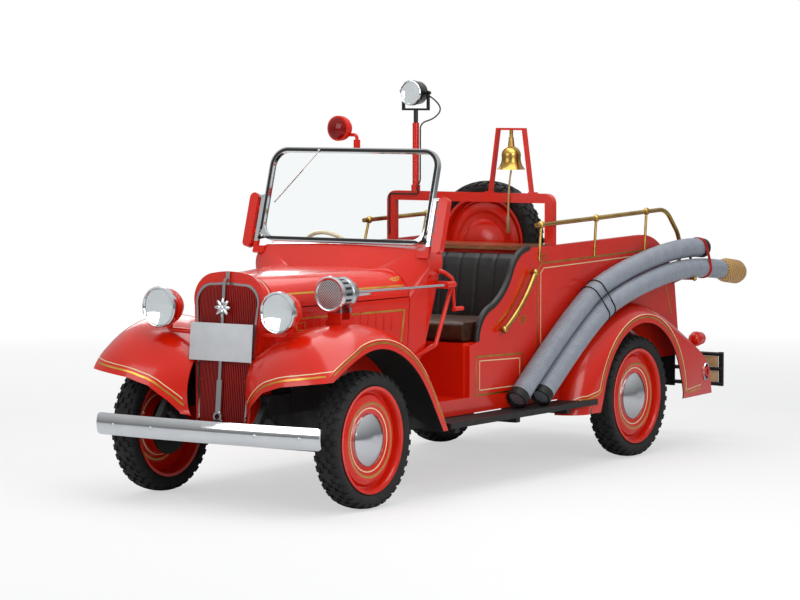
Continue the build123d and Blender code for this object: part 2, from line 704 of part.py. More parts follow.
# Bench seat on the seat box
seat_half = body_in - 6
with BuildPart() as seat_cushion:
    lay_block(-seat_half, seat_half, seat_box_y + 6, bulkhead_y - 180, 880, 1010)
    fillet(seat_cushion.edges().filter_by(Axis.X), 34)
parts["seat_cushion"] = seat_cushion.part
with BuildPart() as seat_back:
    with BuildSketch(side_sheet(-seat_half)) as back_form:
        with BuildLine():
            Polyline(
                (bulkhead_y - 176, 880), (bulkhead_y, 880), (bulkhead_y, 1415), (bulkhead_y - 70, 1423),
                (bulkhead_y - 104, 1385), close=True,
            )
        make_face()
    extrude(back_form.sketch, amount=2 * seat_half)
parts["seat_back"] = seat_back.part

# Bed: locker bulkhead, deck, raked rear wall and the spare wheel's carrier
rear_top_z = 1240
rake_run = (body_rear_y - rear_axle_y - 755) / (1100 - body_low_z)
rear_top_y = rear_axle_y + 755 - (rear_top_z - 1100) * rake_run
wall_foot_z = rail_z + rail_h + 1
wall_foot_y = body_rear_y - 12 - (wall_foot_z - body_low_z) * 0.24
with BuildPart() as bed:
    lay_block(-body_in, body_in, bulkhead_y, locker_rear_y, body_low_z, board_z)
    lay_block(-body_in, body_in, locker_rear_y, rear_axle_y + 720, bed_floor_z - 25, bed_floor_z)
    with BuildSketch(side_sheet(-body_in)) as wall_form:
        with BuildLine():
            Polyline(
                (rear_top_y - 90, rear_top_z), (rear_top_y - 62, rear_top_z), (wall_foot_y, wall_foot_z),
                (wall_foot_y - 28, wall_foot_z), close=True,
            )
        make_face()
    extrude(wall_form.sketch, amount=2 * body_in)
    carrier_y = spare_y + tyre_w / 2 + 10
    lay_block(-40, 40, carrier_y, carrier_y + 40, bed_floor_z - 1, spare_z + 45)
    lay_rod((0, carrier_y + 5, spare_z), (0, spare_y - spindle_end, spare_z), spindle_r)
parts["bed"] = bed.part

with BuildPart() as wood_board:
    lay_block(-body_in + 3, body_in - 3, bulkhead_y - 60, locker_rear_y - 6, board_z, board_z + board_t)
parts["wood_board"] = wood_board.part

# Windscreen: raked frame with round top corners, side posts with clamps
rake_c = cos(radians(screen_rake))
rake_s = sin(radians(screen_rake))
screen_plane = Plane(origin=(0, screen_y, screen_z), x_dir=(1, 0, 0), z_dir=(0, -rake_c, rake_s))


def screen_face(margin, corner):
    with BuildSketch(screen_plane) as outline:
        with Locations((0, screen_h / 2)):
            Rectangle(2 * (screen_half - margin), screen_h - 2 * margin)
        fillet(outline.vertices().group_by(Axis.Z)[-1], corner)
    return outline.sketch


post_len = 375
post_mid = 108
with BuildPart() as windscreen_frame:
    extrude(screen_face(0, 118), amount=screen_bar / 2, both=True)
    extrude(screen_face(28, 92), amount=screen_bar, both=True, mode=Mode.SUBTRACT)
    for side in (-1, 1):
        post_x = screen_half + 12
        with Locations(screen_plane.location * Location((side * post_x, post_mid, 0))):
            Box(26, post_len, 26)
        with Locations(screen_plane.location * Location((side * (post_x - 36), post_mid - post_len / 2 + 22, 0))):
            Box(72, 44, 26)
        with Locations(screen_plane.location * Location((side * (post_x + 14), 285, 0), (0, 90, 0))):
            Cylinder(15, 30)
    with BuildPart(mode=Mode.PRIVATE) as cowl_solid:
        cowl_envelope(0.3)
    add(cowl_solid.part, mode=Mode.SUBTRACT)
parts["windscreen_frame"] = windscreen_frame.part
with BuildPart() as windscreen_glass:
    extrude(screen_face(28.2, 91.8), amount=3, both=True)
    add(cowl_solid.part, mode=Mode.SUBTRACT)
parts["windscreen_glass"] = windscreen_glass.part

# Warning lamp: bracket on the frame's top bar, round red lens facing forward
screen_top = screen_plane.from_local_coords((0, screen_h, 0))
warn_x = -108
warn_z = screen_top.Z + 125
warn_y = screen_top.Y
with BuildPart() as warning_lamp:
    lay_block(-16, 16, warn_y - 14, warn_y + 14, screen_top.Z - 12, warn_z - 70)
    lay_tube(((0, warn_y, warn_z - 80), (0, warn_y, warn_z - 40), (warn_x, warn_y, warn_z - 40)), 22, 11)
    lamp_body = Plane(origin=(warn_x, warn_y - 55, warn_z), x_dir=(0, 1, 0), z_dir=(1, 0, 0))
    with BuildSketch(lamp_body) as shade:
        with BuildLine():
            ThreePointArc((-22, 0), (-10, 52), (0, 70))
            Line((0, 70), (0, 78))
            Line((0, 78), (24, 78))
            ThreePointArc((24, 78), (75, 58), (100, 0))
            Line((100, 0), (-22, 0))
        make_face()
    revolve(profiles=shade.sketch, axis=Axis(lamp_body.origin, lamp_body.x_dir))
    add(windscreen_frame.part, mode=Mode.SUBTRACT)
    warning_solid = warning_lamp.part.solids().sort_by(Axis.Z)[-1]
parts["warning_lamp"] = warning_solid

# Indicators: slim housings on short brackets from the windscreen posts
ind_x = screen_half + 78
with BuildPart() as indicators:
    for side in (-1, 1):
        with BuildSketch(screen_plane.offset(-26)) as housing:
            with Locations((side * ind_x, 130)):
                SlotOverall(350, 64, rotation=90)
        extrude(housing.sketch, amount=46)
        for height in (60, 210):
            with Locations(screen_plane.location * Location((side * (screen_half + 36), height, 0))):
                Box(28, 30, 14)
    for side in (-1, 1):
        post_x = screen_half + 12
        with Locations(screen_plane.location * Location((side * post_x, post_mid, 0))):
            Box(26, post_len, 26, mode=Mode.SUBTRACT)
parts["indicators"] = indicators.part

# Grab hoops: bent tubes from the cowl's flank down to the fender tail
with BuildPart() as grab_hoops:
    hoop_in = 640
    lay_tube(
        (
            (hoop_in, cowl_rear_y - 70, 1345), (690, cowl_rear_y - 70, 1345), (696, cowl_rear_y + 45, 1290),
            (696, cowl_foot_y + 60, 900), (600, cowl_foot_y - 5, 830),
        ), 30, 13,
    )
    with BuildPart(mode=Mode.PRIVATE) as cowl_skin:
        cowl_envelope()
    add(cowl_skin.part, mode=Mode.SUBTRACT)
    hoop_solid = grab_hoops.part.solids().sort_by(Axis.X)[-1]
with BuildPart() as grab_pair:
    add(hoop_solid)
    mirror(about=Plane.YZ)
parts["grab_hoops"] = grab_pair.part

# Steering: column from the toe board, rimmed wheel with four spokes
wheel_c = (-330, front_axle_y + 1245, 1385)
col_dir = Vector(0, cos(radians(38)), sin(radians(38)))
steer_plane = Plane(origin=wheel_c, x_dir=(1, 0, 0), z_dir=col_dir)
col_top = Vector(*wheel_c) - col_dir * 48
col_low_y = hood_rear_y + firewall_t + 6
col_len = (col_top.Y - col_low_y) / col_dir.Y
col_low = col_top - col_dir * col_len
with BuildPart() as steering_column:
    lay_rod(tuple(col_low), tuple(col_top), 24)
    lay_rod(tuple(col_top), tuple(col_top + col_dir * 30), 12)
    lay_block(wheel_c[0] - 9, wheel_c[0] + 9, hood_rear_y + firewall_t, col_low_y + 40, col_low.Z - 60, col_low.Z + 20)
    lay_block(-700, 700, hood_rear_y - 200, hood_rear_y + firewall_t, 0, 2000, mode=Mode.SUBTRACT)
parts["steering_column"] = steering_column.part
with BuildPart() as steering_wheel:
    rim_r = 205
    with BuildSketch(Plane(origin=wheel_c, x_dir=(1, 0, 0), z_dir=col_dir.cross(Vector(1, 0, 0)))) as rim_dot:
        with Locations((rim_r, 0)):
            Circle(13)
    revolve(profiles=rim_dot.sketch, axis=Axis(wheel_c, col_dir))
    for spoke in range(4):
        with Locations(steer_plane.location * Location((0, 0, 0), (0, 0, 45 + 90 * spoke))):
            with Locations(Location((rim_r / 2, 0, -8))):
                Box(rim_r, 22, 9)
    with Locations(steer_plane.location * Location((0, 0, -12))):
        Cylinder(34, 40)
    with Locations(steer_plane.location * Location((0, 0, -32))):
        Cylinder(12 + running_gap, 36, mode=Mode.SUBTRACT)
parts["steering_wheel"] = steering_wheel.part

# Fenders: closed thin sections on planes fanned about the axle
def crest(top, foot):
    reach = foot[0] - top[0]
    drop = top[1] - foot[1]
    radius = (reach * reach + drop * drop) / (2 * drop)
    turn = atan2(abs(reach), radius - drop) / 2
    return (top[0] + (1 if reach > 0 else -1) * radius * sin(turn), top[1] - radius + radius * cos(turn))


def fender_face(axle_y, angle, inner, crown, lip, edge):
    t = fender_t
    c = cos(radians(angle))
    s = sin(radians(angle))
    inner_in = (inner[0], inner[1] - t)
    crown_in = (crown[0], crown[1] - t)
    lip_in = (lip[0] - t, lip[1] - 0.6 * t)
    edge_in = (edge[0] - t, edge[1])
    with BuildSketch(Plane(origin=(0, axle_y, axle_z), x_dir=(1, 0, 0), z_dir=(0, -s, c))) as section:
        with BuildLine():
            ThreePointArc(inner, crest(crown, inner), crown)
            ThreePointArc(crown, crest(crown, lip), lip)
            Line(lip, edge)
            Line(edge, edge_in)
            Line(edge_in, lip_in)
            ThreePointArc(lip_in, crest(crown_in, lip_in), crown_in)
            ThreePointArc(crown_in, crest(crown_in, inner_in), inner_in)
            Line(inner_in, inner)
        make_face()
    return section.sketch


# angle from the rear level line, inner edge, crown, lip, lower edge as (x, radius)
front_fender_rows = (
    (-6, (640, 772), (750, 786), (fender_out, 765), (fender_out, 725)),
    (12, (560, 668), (735, 708), (fender_out, 656), (fender_out, 602)),
    (35, (455, 642), (700, 676), (fender_out, 606), (fender_out, 549)),
    (62, (385, 560), (660, 672), (fender_out, 592), (fender_out, 533)),
    (90, (300, 530), (640, 680), (fender_out, 592), (fender_out, 537)),
    (118, (220, 580), (630, 706), (fender_out, 608), (fender_out, 548)),
    (142, (215, 540), (610, 684), (856, 640), (856, 598)),
    (164, (175, 440), (500, 570), (760, 552), (760, 520)),
)
with BuildPart() as front_fender:
    loft(sections=[fender_face(front_axle_y, *row) for row in front_fender_rows])
    with BuildSketch(front_sheet(front_axle_y - 330)) as mouth:
        with BuildLine():
            Polyline(
                (150, 250), (1000, 250), (1000, 800), (560, 748), (420, 706), (310, 622), (240, 545), (196, 452), close=True,
            )
        make_face()
    extrude(mouth.sketch, amount=600, mode=Mode.SUBTRACT)
    with BuildPart(mode=Mode.PRIVATE) as front_solid:
        nose_envelope(0.5)
        envelope(nose_y, grow_row(hood_front_row, 0.5), hood_rear_y, grow_row(hood_rear_row, 0.5))
        cowl_envelope(0.5)
        lay_block(-body_half, body_half, hood_rear_y, cowl_rear_y + 200, sill_z - 120, floor_z + floor_t + 20)
    add(front_solid.part, mode=Mode.SUBTRACT)
    lay_block(600, 900, front_axle_y + 600, front_axle_y + 900, 0, board_top_z - 40, mode=Mode.SUBTRACT)
    front_fender_solid = front_fender.part.solids().sort_by(SortBy.VOLUME)[-1]
with BuildPart() as front_fenders:
    add(front_fender_solid)
    mirror(about=Plane.YZ)
parts["front_fenders"] = front_fenders.part

skirt = body_half + running_gap
rear_fender_rows = (
    (188, (skirt, 905), (692, 906), (840, 660), (845, 548)),
    (165, (skirt, 780), (692, 781), (866, 604), (fender_out, 525)),
    (140, (skirt, 682), (692, 683), (fender_out, 562), (fender_out, 505)),
    (115, (skirt, 628), (692, 629), (fender_out, 550), (fender_out, 495)),
    (90, (skirt, 625), (692, 626), (fender_out, 546), (fender_out, 492)),
    (62, (skirt, 640), (692, 641), (fender_out, 556), (fender_out, 494)),
    (40, (skirt, 705), (692, 706), (fender_out, 610), (fender_out, 499)),
    (22, (skirt, 850), (692, 851), (866, 760), (fender_out, 508)),
    (8, (skirt, 1010), (692, 1011), (850, 940), (fender_out, 522)),
    (-8, (skirt, 1140), (692, 1141), (820, 1085), (862, 545)),
)
fender_cut_z = 345
with BuildPart() as rear_fender:
    loft(sections=[fender_face(rear_axle_y, *row) for row in rear_fender_rows])
    lay_block(600, 1000, rear_axle_y - 1500, rear_axle_y + 1500, 0, fender_cut_z, mode=Mode.SUBTRACT)
    rear_fender_solid = rear_fender.part.solids().sort_by(SortBy.VOLUME)[-1]
with BuildPart() as rear_fenders:
    add(rear_fender_solid)
    mirror(about=Plane.YZ)
parts["rear_fenders"] = rear_fenders.part

# Running boards between the fenders
with BuildPart() as running_boards:
    lay_block(board_in, board_out, board_front_y, board_rear_y, board_top_z - 36, board_top_z)
    add(front_fender_solid, mode=Mode.SUBTRACT)
    add(rear_fender_solid, mode=Mode.SUBTRACT)
    board_solid = running_boards.part.solids().sort_by(SortBy.VOLUME)[-1]
with BuildPart() as board_pair:
    add(board_solid)
    mirror(about=Plane.YZ)
parts["running_boards"] = board_pair.part

# Siren on the left front fender, with its drive rod, bearing and crank
siren_x = 620
siren_z = 1260
siren_y = front_axle_y - 160
with BuildPart() as siren:
    horn = Plane(origin=(siren_x, siren_y, siren_z), x_dir=(0, 1, 0), z_dir=(1, 0, 0))
    spin_profile(
        horn,
        (
            (0, 0), (0, 90), (6, 104), (20, 104), (34, 92), (112, 92), (118, 98), (140, 98), (150, 84),
            (205, 70), (232, 40), (240, 22), (258, 22), (258, 0),
        ),
    )
    for y in (siren_y + 55, siren_y + 150):
        lay_block(siren_x - 45, siren_x + 45, y - 9, y + 9, siren_z - 230, siren_z - 60)
    lay_block(siren_x - 55, siren_x + 55, siren_y + 40, siren_y + 165, siren_z - 190, siren_z - 150)
    add(front_fender_solid, mode=Mode.SUBTRACT)
    siren_solid = siren.part.solids().sort_by(Axis.Z)[-1]
parts["siren"] = siren_solid
rod_end = (735, cowl_rear_y - 70, 1262)
with BuildPart() as siren_drive:
    lay_rod((siren_x, siren_y + 258.5, siren_z), rod_end, 8)
    lay_rod((rod_end[0], rod_end[1] - 30, rod_end[2]), (rod_end[0], rod_end[1] + 60, rod_end[2]), 20)
    lay_block(600, rod_end[0], rod_end[1] - 20, rod_end[1] + 25, rod_end[2] - 22, rod_end[2] + 22)
    crank = (rod_end[0] + 8, rod_end[1] + 52, rod_end[2] - 150)
    lay_rod((rod_end[0], crank[1], rod_end[2]), crank, 9)
    lay_rod((crank[0], crank[1] - 6, crank[2]), (crank[0], crank[1] + 90, crank[2]), 14)
    add(cowl_solid.part, mode=Mode.SUBTRACT)
    add(siren_solid, mode=Mode.SUBTRACT)
    drive_solid = siren_drive.part.solids().sort_by(SortBy.VOLUME)[-1]
parts["siren_drive"] = drive_solid

# Hoop across the body with the lamp mast
mast_foot_z = hoop_top_z
with BuildPart() as hoop:
    with BuildSketch(front_sheet(hoop_y + hoop_depth / 2)) as gate:
        with Locations((0, (1180 + hoop_top_z) / 2)):
            Rectangle(2 * body_in, hoop_top_z - 1180)
        fillet(gate.vertices().group_by(Axis.Z)[-1], 62)
        with Locations((0, (1180 + hoop_top_z) / 2 - hoop_bar)):
            Rectangle(2 * (body_in - hoop_bar), hoop_top_z - 1180, mode=Mode.SUBTRACT)
    extrude(gate.sketch, amount=hoop_depth)
    lay_rod((mast_x, hoop_y, mast_foot_z - 20), (mast_x, hoop_y, mast_top_z), mast_r)
    lay_rod((mast_x, hoop_y, mast_foot_z - 2), (mast_x, hoop_y, mast_foot_z + 40), 30)
    lay_rod((mast_x, hoop_y, mast_top_z - 80), (mast_x, hoop_y, mast_top_z + 5), 15 + running_gap, mode=Mode.SUBTRACT)
parts["hoop"] = hoop.part

# Searchlight: stem in the mast, fork and lamp
with BuildPart() as searchlight:
    lay_rod((mast_x, hoop_y, mast_top_z - 78), (mast_x, hoop_y, search_z - 112), 15)
    lay_block(mast_x - search_r - 20, mast_x + search_r + 20, hoop_y - 12, hoop_y + 12, search_z - 116, search_z - 102)
    for side in (-1, 1):
        arm_x = mast_x + side * (search_r + 14)
        lay_block(arm_x - 6, arm_x + 6, hoop_y - 12, hoop_y + 12, search_z - 116, search_z + 14)
        lay_rod((mast_x + side * (search_r - 20), hoop_y, search_z), (mast_x + side * (search_r + 32), hoop_y, search_z), 10)
    drum = Plane(origin=(mast_x, hoop_y - 62, search_z), x_dir=(0, 1, 0), z_dir=(1, 0, 0))
    spin_profile(
        drum,
        (
            (2, 0), (2, search_r - 8), (-4, search_r - 8), (-4, search_r), (22, search_r), (26, search_r - 4),
            (92, search_r - 8), (124, 52), (138, 20), (138, 0),
        ),
    )
parts["searchlight"] = searchlight.part

# Lamp lead: a loose loop to the mast, then clipped down the mast and along the hoop
lead_r = 5
clip_z = mast_top_z - 40
lead_x = mast_x + 30 + lead_r + 0.6
with BuildPart() as lamp_lead_loop:
    lay_tube(
        (
            (mast_x, hoop_y + 77.2, search_z), (mast_x + 10, hoop_y + 140, search_z - 10),
            (mast_x + 90, hoop_y + 190, search_z - 100), (mast_x + 70, hoop_y + 120, clip_z + 66),
            (lead_x, hoop_y + 2, clip_z + 40), (lead_x, hoop_y, clip_z),
        ), 16, lead_r,
    )
parts["lamp_lead_loop"] = lamp_lead_loop.part
front_face = hoop_y - hoop_depth / 2 - lead_r - 0.5
with BuildPart() as lamp_lead:
    lay_tube(
        (
            (lead_x, hoop_y, clip_z - 0.5), (lead_x, hoop_y, hoop_top_z + 70), (lead_x, front_face, hoop_top_z + 30),
            (lead_x, front_face, hoop_top_z - 20), (-body_in + 22, front_face, hoop_top_z - 20),
            (-body_in + 22, front_face, board_z + board_t + 30),
        ), 12, lead_r,
    )
parts["lamp_lead"] = lamp_lead.part

# Bell in its A-frame on the hoop
frame_top_z = bell_mouth_z + 270
with BuildPart() as bell_frame:
    for side in (-1, 1):
        with BuildSketch(front_sheet(hoop_y + 20)) as leg:
            with BuildLine():
                Polyline(
                    (bell_x + side * 148, hoop_top_z), (bell_x + side * 164, hoop_top_z),
                    (bell_x + side * 106, frame_top_z), (bell_x + side * 90, frame_top_z), close=True,
                )
            make_face()
        extrude(leg.sketch, amount=40)
        foot_x = bell_x + side * 166
        lay_block(foot_x - 26, foot_x + 26, hoop_y - 20, hoop_y + 20, hoop_top_z, hoop_top_z + 8)
    lay_block(bell_x - 106, bell_x + 106, hoop_y - 20, hoop_y + 20, frame_top_z - 14, frame_top_z)
parts["bell_frame"] = bell_frame.part
with BuildPart() as bell:
    hang = Plane(origin=(bell_x, hoop_y, bell_mouth_z), x_dir=(0, 0, 1), z_dir=(0, 1, 0))
    with BuildSketch(hang) as waist:
        with BuildLine():
            Line((0, bell_r - 9), (0, bell_r))
            ThreePointArc((0, bell_r), (30, 72), (80, 62))
            ThreePointArc((80, 62), (130, 50), (bell_h, 22))
            Line((bell_h, 22), (bell_h + 60, 16))
            Line((bell_h + 60, 16), (bell_h + 60, 0))
            Line((bell_h + 60, 0), (bell_h - 14, 0))
            Line((bell_h - 14, 0), (bell_h - 14, 20))
            ThreePointArc((bell_h - 14, 20), (120, 44), (80, 54))
            ThreePointArc((80, 54), (30, 64), (0, bell_r - 9))
        make_face()
    revolve(profiles=waist.sketch, axis=Axis(hang.origin, hang.x_dir))
    lay_rod((bell_x, hoop_y, bell_mouth_z + bell_h + 58), (bell_x, hoop_y, frame_top_z - 14), 12)
    lay_rod((bell_x, hoop_y, bell_mouth_z + bell_h - 10), (bell_x, hoop_y, bell_mouth_z + 20), 5)
    with Locations((bell_x, hoop_y, bell_mouth_z + 12)):
        Sphere(18)
parts["bell"] = bell.part
rope_y = hoop_y - hoop_depth / 2 - 12
with BuildPart() as bell_rope:
    lay_tube(
        (
            (bell_x, hoop_y, bell_mouth_z - 8.2), (bell_x, rope_y, hoop_top_z + 60), (bell_x, rope_y, hoop_top_z - 150),
        ), 40, 6,
    )
    lay_rod((bell_x, rope_y, hoop_top_z - 148), (bell_x, rope_y, hoop_top_z - 262), 15)
parts["bell_rope"] = bell_rope.part

# Brass: side rails with ball stanchions, curved grab bars and hose hooks
rail_line_x = 668
rail_y0 = front_axle_y + 2130
stanchion_rows = ((rail_y0, 1582), (rear_axle_y - 303, 1600), (rear_axle_y + 371, 1622))
with BuildPart() as brass_rails:
    tail_y = rear_axle_y + 870
    lay_tube(
        (
            (rail_line_x, rail_y0 - 60, 1580), (rail_line_x, rear_axle_y - 303, 1600), (rail_line_x, rear_axle_y + 640, 1628),
            (rail_line_x, tail_y, 1400), (rail_line_x, rear_axle_y + 800, 1180),
        ), 200, 15,
    )
    for y, z in stanchion_rows:
        with Locations((rail_line_x, y, z)):
            Sphere(25)
        lay_rod((rail_line_x, y, z), (682, y - 45, 1400), 9)
        lay_rod((682, y - 45, 1410), (682, y - 50, 1352), 11)
    grab_y = ess_y + 740
    with BuildLine() as grab_line:
        ThreePointArc((716, grab_y, 1285), (716, grab_y - 175, 1085), (716, grab_y - 370, 945))
    grab_track = grab_line.wires()[0]
    with BuildSketch(Plane(origin=grab_track @ 0, z_dir=grab_track % 0)) as grab_ring:
        Circle(16)
    sweep(sections=grab_ring.sketch, path=grab_track)
    for y, z in ((grab_y, 1285), (grab_y - 370, 945)):
        with Locations((716, y, z)):
            Sphere(24)
        lay_rod((670, y, z), (716, y, z), 13)
    hook_y = rear_axle_y + 725
    hook_z = 1152.3
    lay_tube(((660, hook_y, hook_z - 39), (750, hook_y, hook_z), (850, hook_y, hook_z)), 30, 9)
    with Locations((850, hook_y, hook_z)):
        Sphere(15)
    lay_rod((rail_line_x, rear_axle_y + 800, 1190), (rail_line_x, rear_axle_y + 740, 1130), 15)
    add(body_pair.part, mode=Mode.SUBTRACT)
    brass_solids = [solid for solid in brass_rails.part.solids() if solid.volume > 20000]
with BuildPart() as brass_pair:
    for solid in brass_solids:
        add(solid)
    mirror(about=Plane.YZ)
parts["brass_rails"] = brass_pair.part

# Suction hoses on the left side, with end cuffs and the wicker strainer
hose_end_z = board_top_z + 54
hose_rows = (
    (
        (hose_in_x, front_axle_y + 1694, hose_end_z), (hose_in_x, front_axle_y + 2472, 1076), (hose_in_x, rear_axle_y - 88, 1255),
        (hose_in_x, rear_axle_y + 738, 1376), (hose_in_x, rear_axle_y + 1015, 1349),
    ),
    (
        (hose_out_x, front_axle_y + 1905, hose_end_z), (hose_out_x, front_axle_y + 2530, 962), (hose_out_x, rear_axle_y - 60, 1132),
        (hose_out_x, rear_axle_y + 740, 1249), (basket_x, rear_axle_y + 1235, 1190),
    ),
)
with BuildPart() as suction_hoses:
    for row in hose_rows:
        lay_tube(row, hose_bend, hose_r)
parts["suction_hoses"] = suction_hoses.part
basket_start = Vector(*hose_rows[1][-1])
basket_dir = (basket_start - Vector(*hose_rows[1][-2])).normalized()
basket_end_y = -bumper_front_y
basket_len = (basket_end_y - basket_start.Y - 6.2) / basket_dir.Y
with BuildPart() as strainer_basket:
    reed = Plane(origin=basket_start, x_dir=basket_dir, z_dir=basket_dir.cross(Vector(0, 0, 1)))
    spin_profile(
        reed,
        (
            (0, 0), (0, hose_r), (30, basket_r - 8), (70, basket_r), (basket_len - 50, basket_r),
            (basket_len - 14, basket_r - 12), (basket_len, basket_r - 34), (basket_len, 0),
        ),
    )
parts["strainer_basket"] = strainer_basket.part

# Rear guard of black bars, bracketed to the frame
guard_y = rear_axle_y + 1215
guard_half = 812
with BuildPart() as rear_guard:
    for z in (388, 492, 596):
        lay_rod((-guard_half, guard_y, z), (guard_half, guard_y, z), 14)
    for x in (-guard_half + 12, -rail_x, rail_x, guard_half - 12):
        lay_block(x - 16, x + 16, guard_y - 9, guard_y + 9, 374, 612)
    for side in (-1, 1):
        lay_block(side * rail_x - 22, side * rail_x + 22, frame_rear_y, guard_y, 566, 604)
parts["rear_guard"] = rear_guard.part

# Tail lamps on stems from the body's rear corners, oval markers on the fender tails
with BuildPart() as rear_lamps:
    tail_c = (715, rear_axle_y + 1000, 716)
    with Locations(tail_c):
        Sphere(52)
    lay_rod((tail_c[0], tail_c[1] + 20, tail_c[2]), (tail_c[0], tail_c[1] + 62, tail_c[2]), 44)
    lay_rod((662, body_rear_y - 40, 700), tail_c, 11)
    with Locations(Location((842, rear_axle_y + 890, 505), (0, 90, 0))):
        Cylinder(34, 50)
    add(body_pair.part, mode=Mode.SUBTRACT)
    add(rear_fender_solid, mode=Mode.SUBTRACT)
    lamp_solids = []
    for solid in rear_lamps.part.solids():
        span = solid.bounding_box()
        if span.max.X > 864 or (span.max.X > 760 and span.min.X < 700):
            lamp_solids.append(solid)
with BuildPart() as lamp_pairs:
    for solid in lamp_solids:
        add(solid)
    mirror(about=Plane.YZ)
parts["rear_lamps"] = lamp_pairs.part

for name, shape in parts.items():
    shape.label = name
    export_step(shape, "parts/" + name + ".step")
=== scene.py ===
from math import atan2, cos, pi, radians, sin, sqrt
import bpy
from mathutils import Matrix, Vector
from mathutils.bvhtree import BVHTree


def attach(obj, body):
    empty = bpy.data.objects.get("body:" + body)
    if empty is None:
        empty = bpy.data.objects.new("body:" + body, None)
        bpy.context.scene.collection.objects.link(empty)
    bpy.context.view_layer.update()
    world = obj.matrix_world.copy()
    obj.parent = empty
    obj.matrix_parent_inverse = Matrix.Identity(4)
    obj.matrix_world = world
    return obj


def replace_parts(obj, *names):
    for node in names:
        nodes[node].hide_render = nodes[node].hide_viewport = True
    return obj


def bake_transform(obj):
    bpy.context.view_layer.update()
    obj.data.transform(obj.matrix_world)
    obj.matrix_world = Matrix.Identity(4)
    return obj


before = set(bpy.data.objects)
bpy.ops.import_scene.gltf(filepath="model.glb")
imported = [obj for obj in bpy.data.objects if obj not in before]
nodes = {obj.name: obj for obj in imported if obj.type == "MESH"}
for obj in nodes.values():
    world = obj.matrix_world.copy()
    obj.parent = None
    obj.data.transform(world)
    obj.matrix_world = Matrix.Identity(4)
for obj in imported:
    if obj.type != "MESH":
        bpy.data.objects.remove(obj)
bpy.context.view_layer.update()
print("frame loaded:", len(nodes), "nodes")

# places that many pieces share, metres, in the same frame as the solids
layout = {"frontAxleY": -2.030, "rearAxleY": 1.100, "wheelX": 0.744, "axleZ": 0.4065}
mainBody = "vehicle"


# small helpers: selecting, colouring, finishing a piece
def deselectAll():
    if bpy.context.mode != "OBJECT":
        bpy.ops.object.mode_set(mode="OBJECT")
    bpy.ops.object.select_all(action="DESELECT")


def pick(obj):
    deselectAll()
    obj.select_set(True)
    bpy.context.view_layer.objects.active = obj


def hexToLinear(code):
    shares = [int(code[i:i + 2], 16) / 255 for i in (1, 3, 5)]
    return [v / 12.92 if v <= 0.04045 else ((v + 0.055) / 1.055) ** 2.4 for v in shares] + [1.0]


def addNode(tree, kind, settings=None, links=None):
    node = tree.nodes.new(kind)
    for key, value in (settings or {}).items():
        if isinstance(key, int):
            node.inputs[key].default_value = value
        elif key in node.inputs and not hasattr(node, key):
            node.inputs[key].default_value = value
        else:
            setattr(node, key, value)
    for key, socket in (links or {}).items():
        tree.links.new(socket, node.inputs[key])
    return node


def mathStep(tree, operation, *terms):
    # one sum in a shader: each term is a number or a socket
    node = addNode(tree, "ShaderNodeMath", {"operation": operation})
    for index, term in enumerate(terms):
        if isinstance(term, float):
            node.inputs[index].default_value = term
        else:
            tree.links.new(term, node.inputs[index])
    return node.outputs[0]


def splitAxes(tree, vector):
    return addNode(tree, "ShaderNodeSeparateXYZ", None, {0: vector}).outputs


def newFinish(name, settings):
    material = bpy.data.materials.new(name)
    material.use_nodes = True
    tree = material.node_tree
    shader = tree.nodes["Principled BSDF"]
    for key, value in settings.items():
        shader.inputs[key].default_value = value
    place = addNode(tree, "ShaderNodeTexCoord").outputs["Object"]
    return material, tree, shader, place


def offsetFrom(tree, place, centre, across=(1.0, 1.0, 1.0)):
    # where a spot lies from a centre, flattened by the axes that are left out
    offset = addNode(tree, "ShaderNodeVectorMath", {"operation": "SUBTRACT", 1: centre}, {0: place})
    return addNode(tree, "ShaderNodeVectorMath", {"operation": "MULTIPLY", 1: across}, {0: offset.outputs[0]}).outputs[0]


def shadeColour(tree, shader, factor, low, high, start=0.35, stop=0.65):
    ramp = addNode(tree, "ShaderNodeValToRGB", links={"Fac": factor})
    ramp.color_ramp.elements[0].position = start
    ramp.color_ramp.elements[1].position = stop
    ramp.color_ramp.elements[0].color = hexToLinear(low)
    ramp.color_ramp.elements[1].color = hexToLinear(high)
    tree.links.new(ramp.outputs["Color"], shader.inputs["Base Color"])


def raiseGrain(tree, shader, height, strength, distance):
    bump = addNode(tree, "ShaderNodeBump", {"Strength": strength, "Distance": distance}, {"Height": height})
    tree.links.new(bump.outputs["Normal"], shader.inputs["Normal"])


def bandRamp(tree, factor, bands):
    # hard-edged bands: each row is (start, colour as four numbers)
    ramp = addNode(tree, "ShaderNodeValToRGB", links={"Fac": factor})
    ramp.color_ramp.interpolation = "CONSTANT"
    for step, (start, colour) in enumerate(bands):
        spot = ramp.color_ramp.elements[step] if step < 2 else ramp.color_ramp.elements.new(start)
        spot.position = start
        spot.color = colour
    return ramp.outputs["Color"]


def bandFinish(tree, shader, factor, rows):
    # rows: start, colour, metallic, roughness
    bands = {"Base Color": [], "Metallic": [], "Roughness": []}
    for start, colour, metallic, roughness in rows:
        bands["Base Color"].append((start, hexToLinear(colour)))
        bands["Metallic"].append((start, (metallic, metallic, metallic, 1.0)))
        bands["Roughness"].append((start, (roughness, roughness, roughness, 1.0)))
    for key, row in bands.items():
        tree.links.new(bandRamp(tree, factor, row), shader.inputs[key])


# finishes
glossCoat = {"Coat Weight": 0.4, "Coat Roughness": 0.05, "Coat IOR": 1.4, "IOR": 1.36}


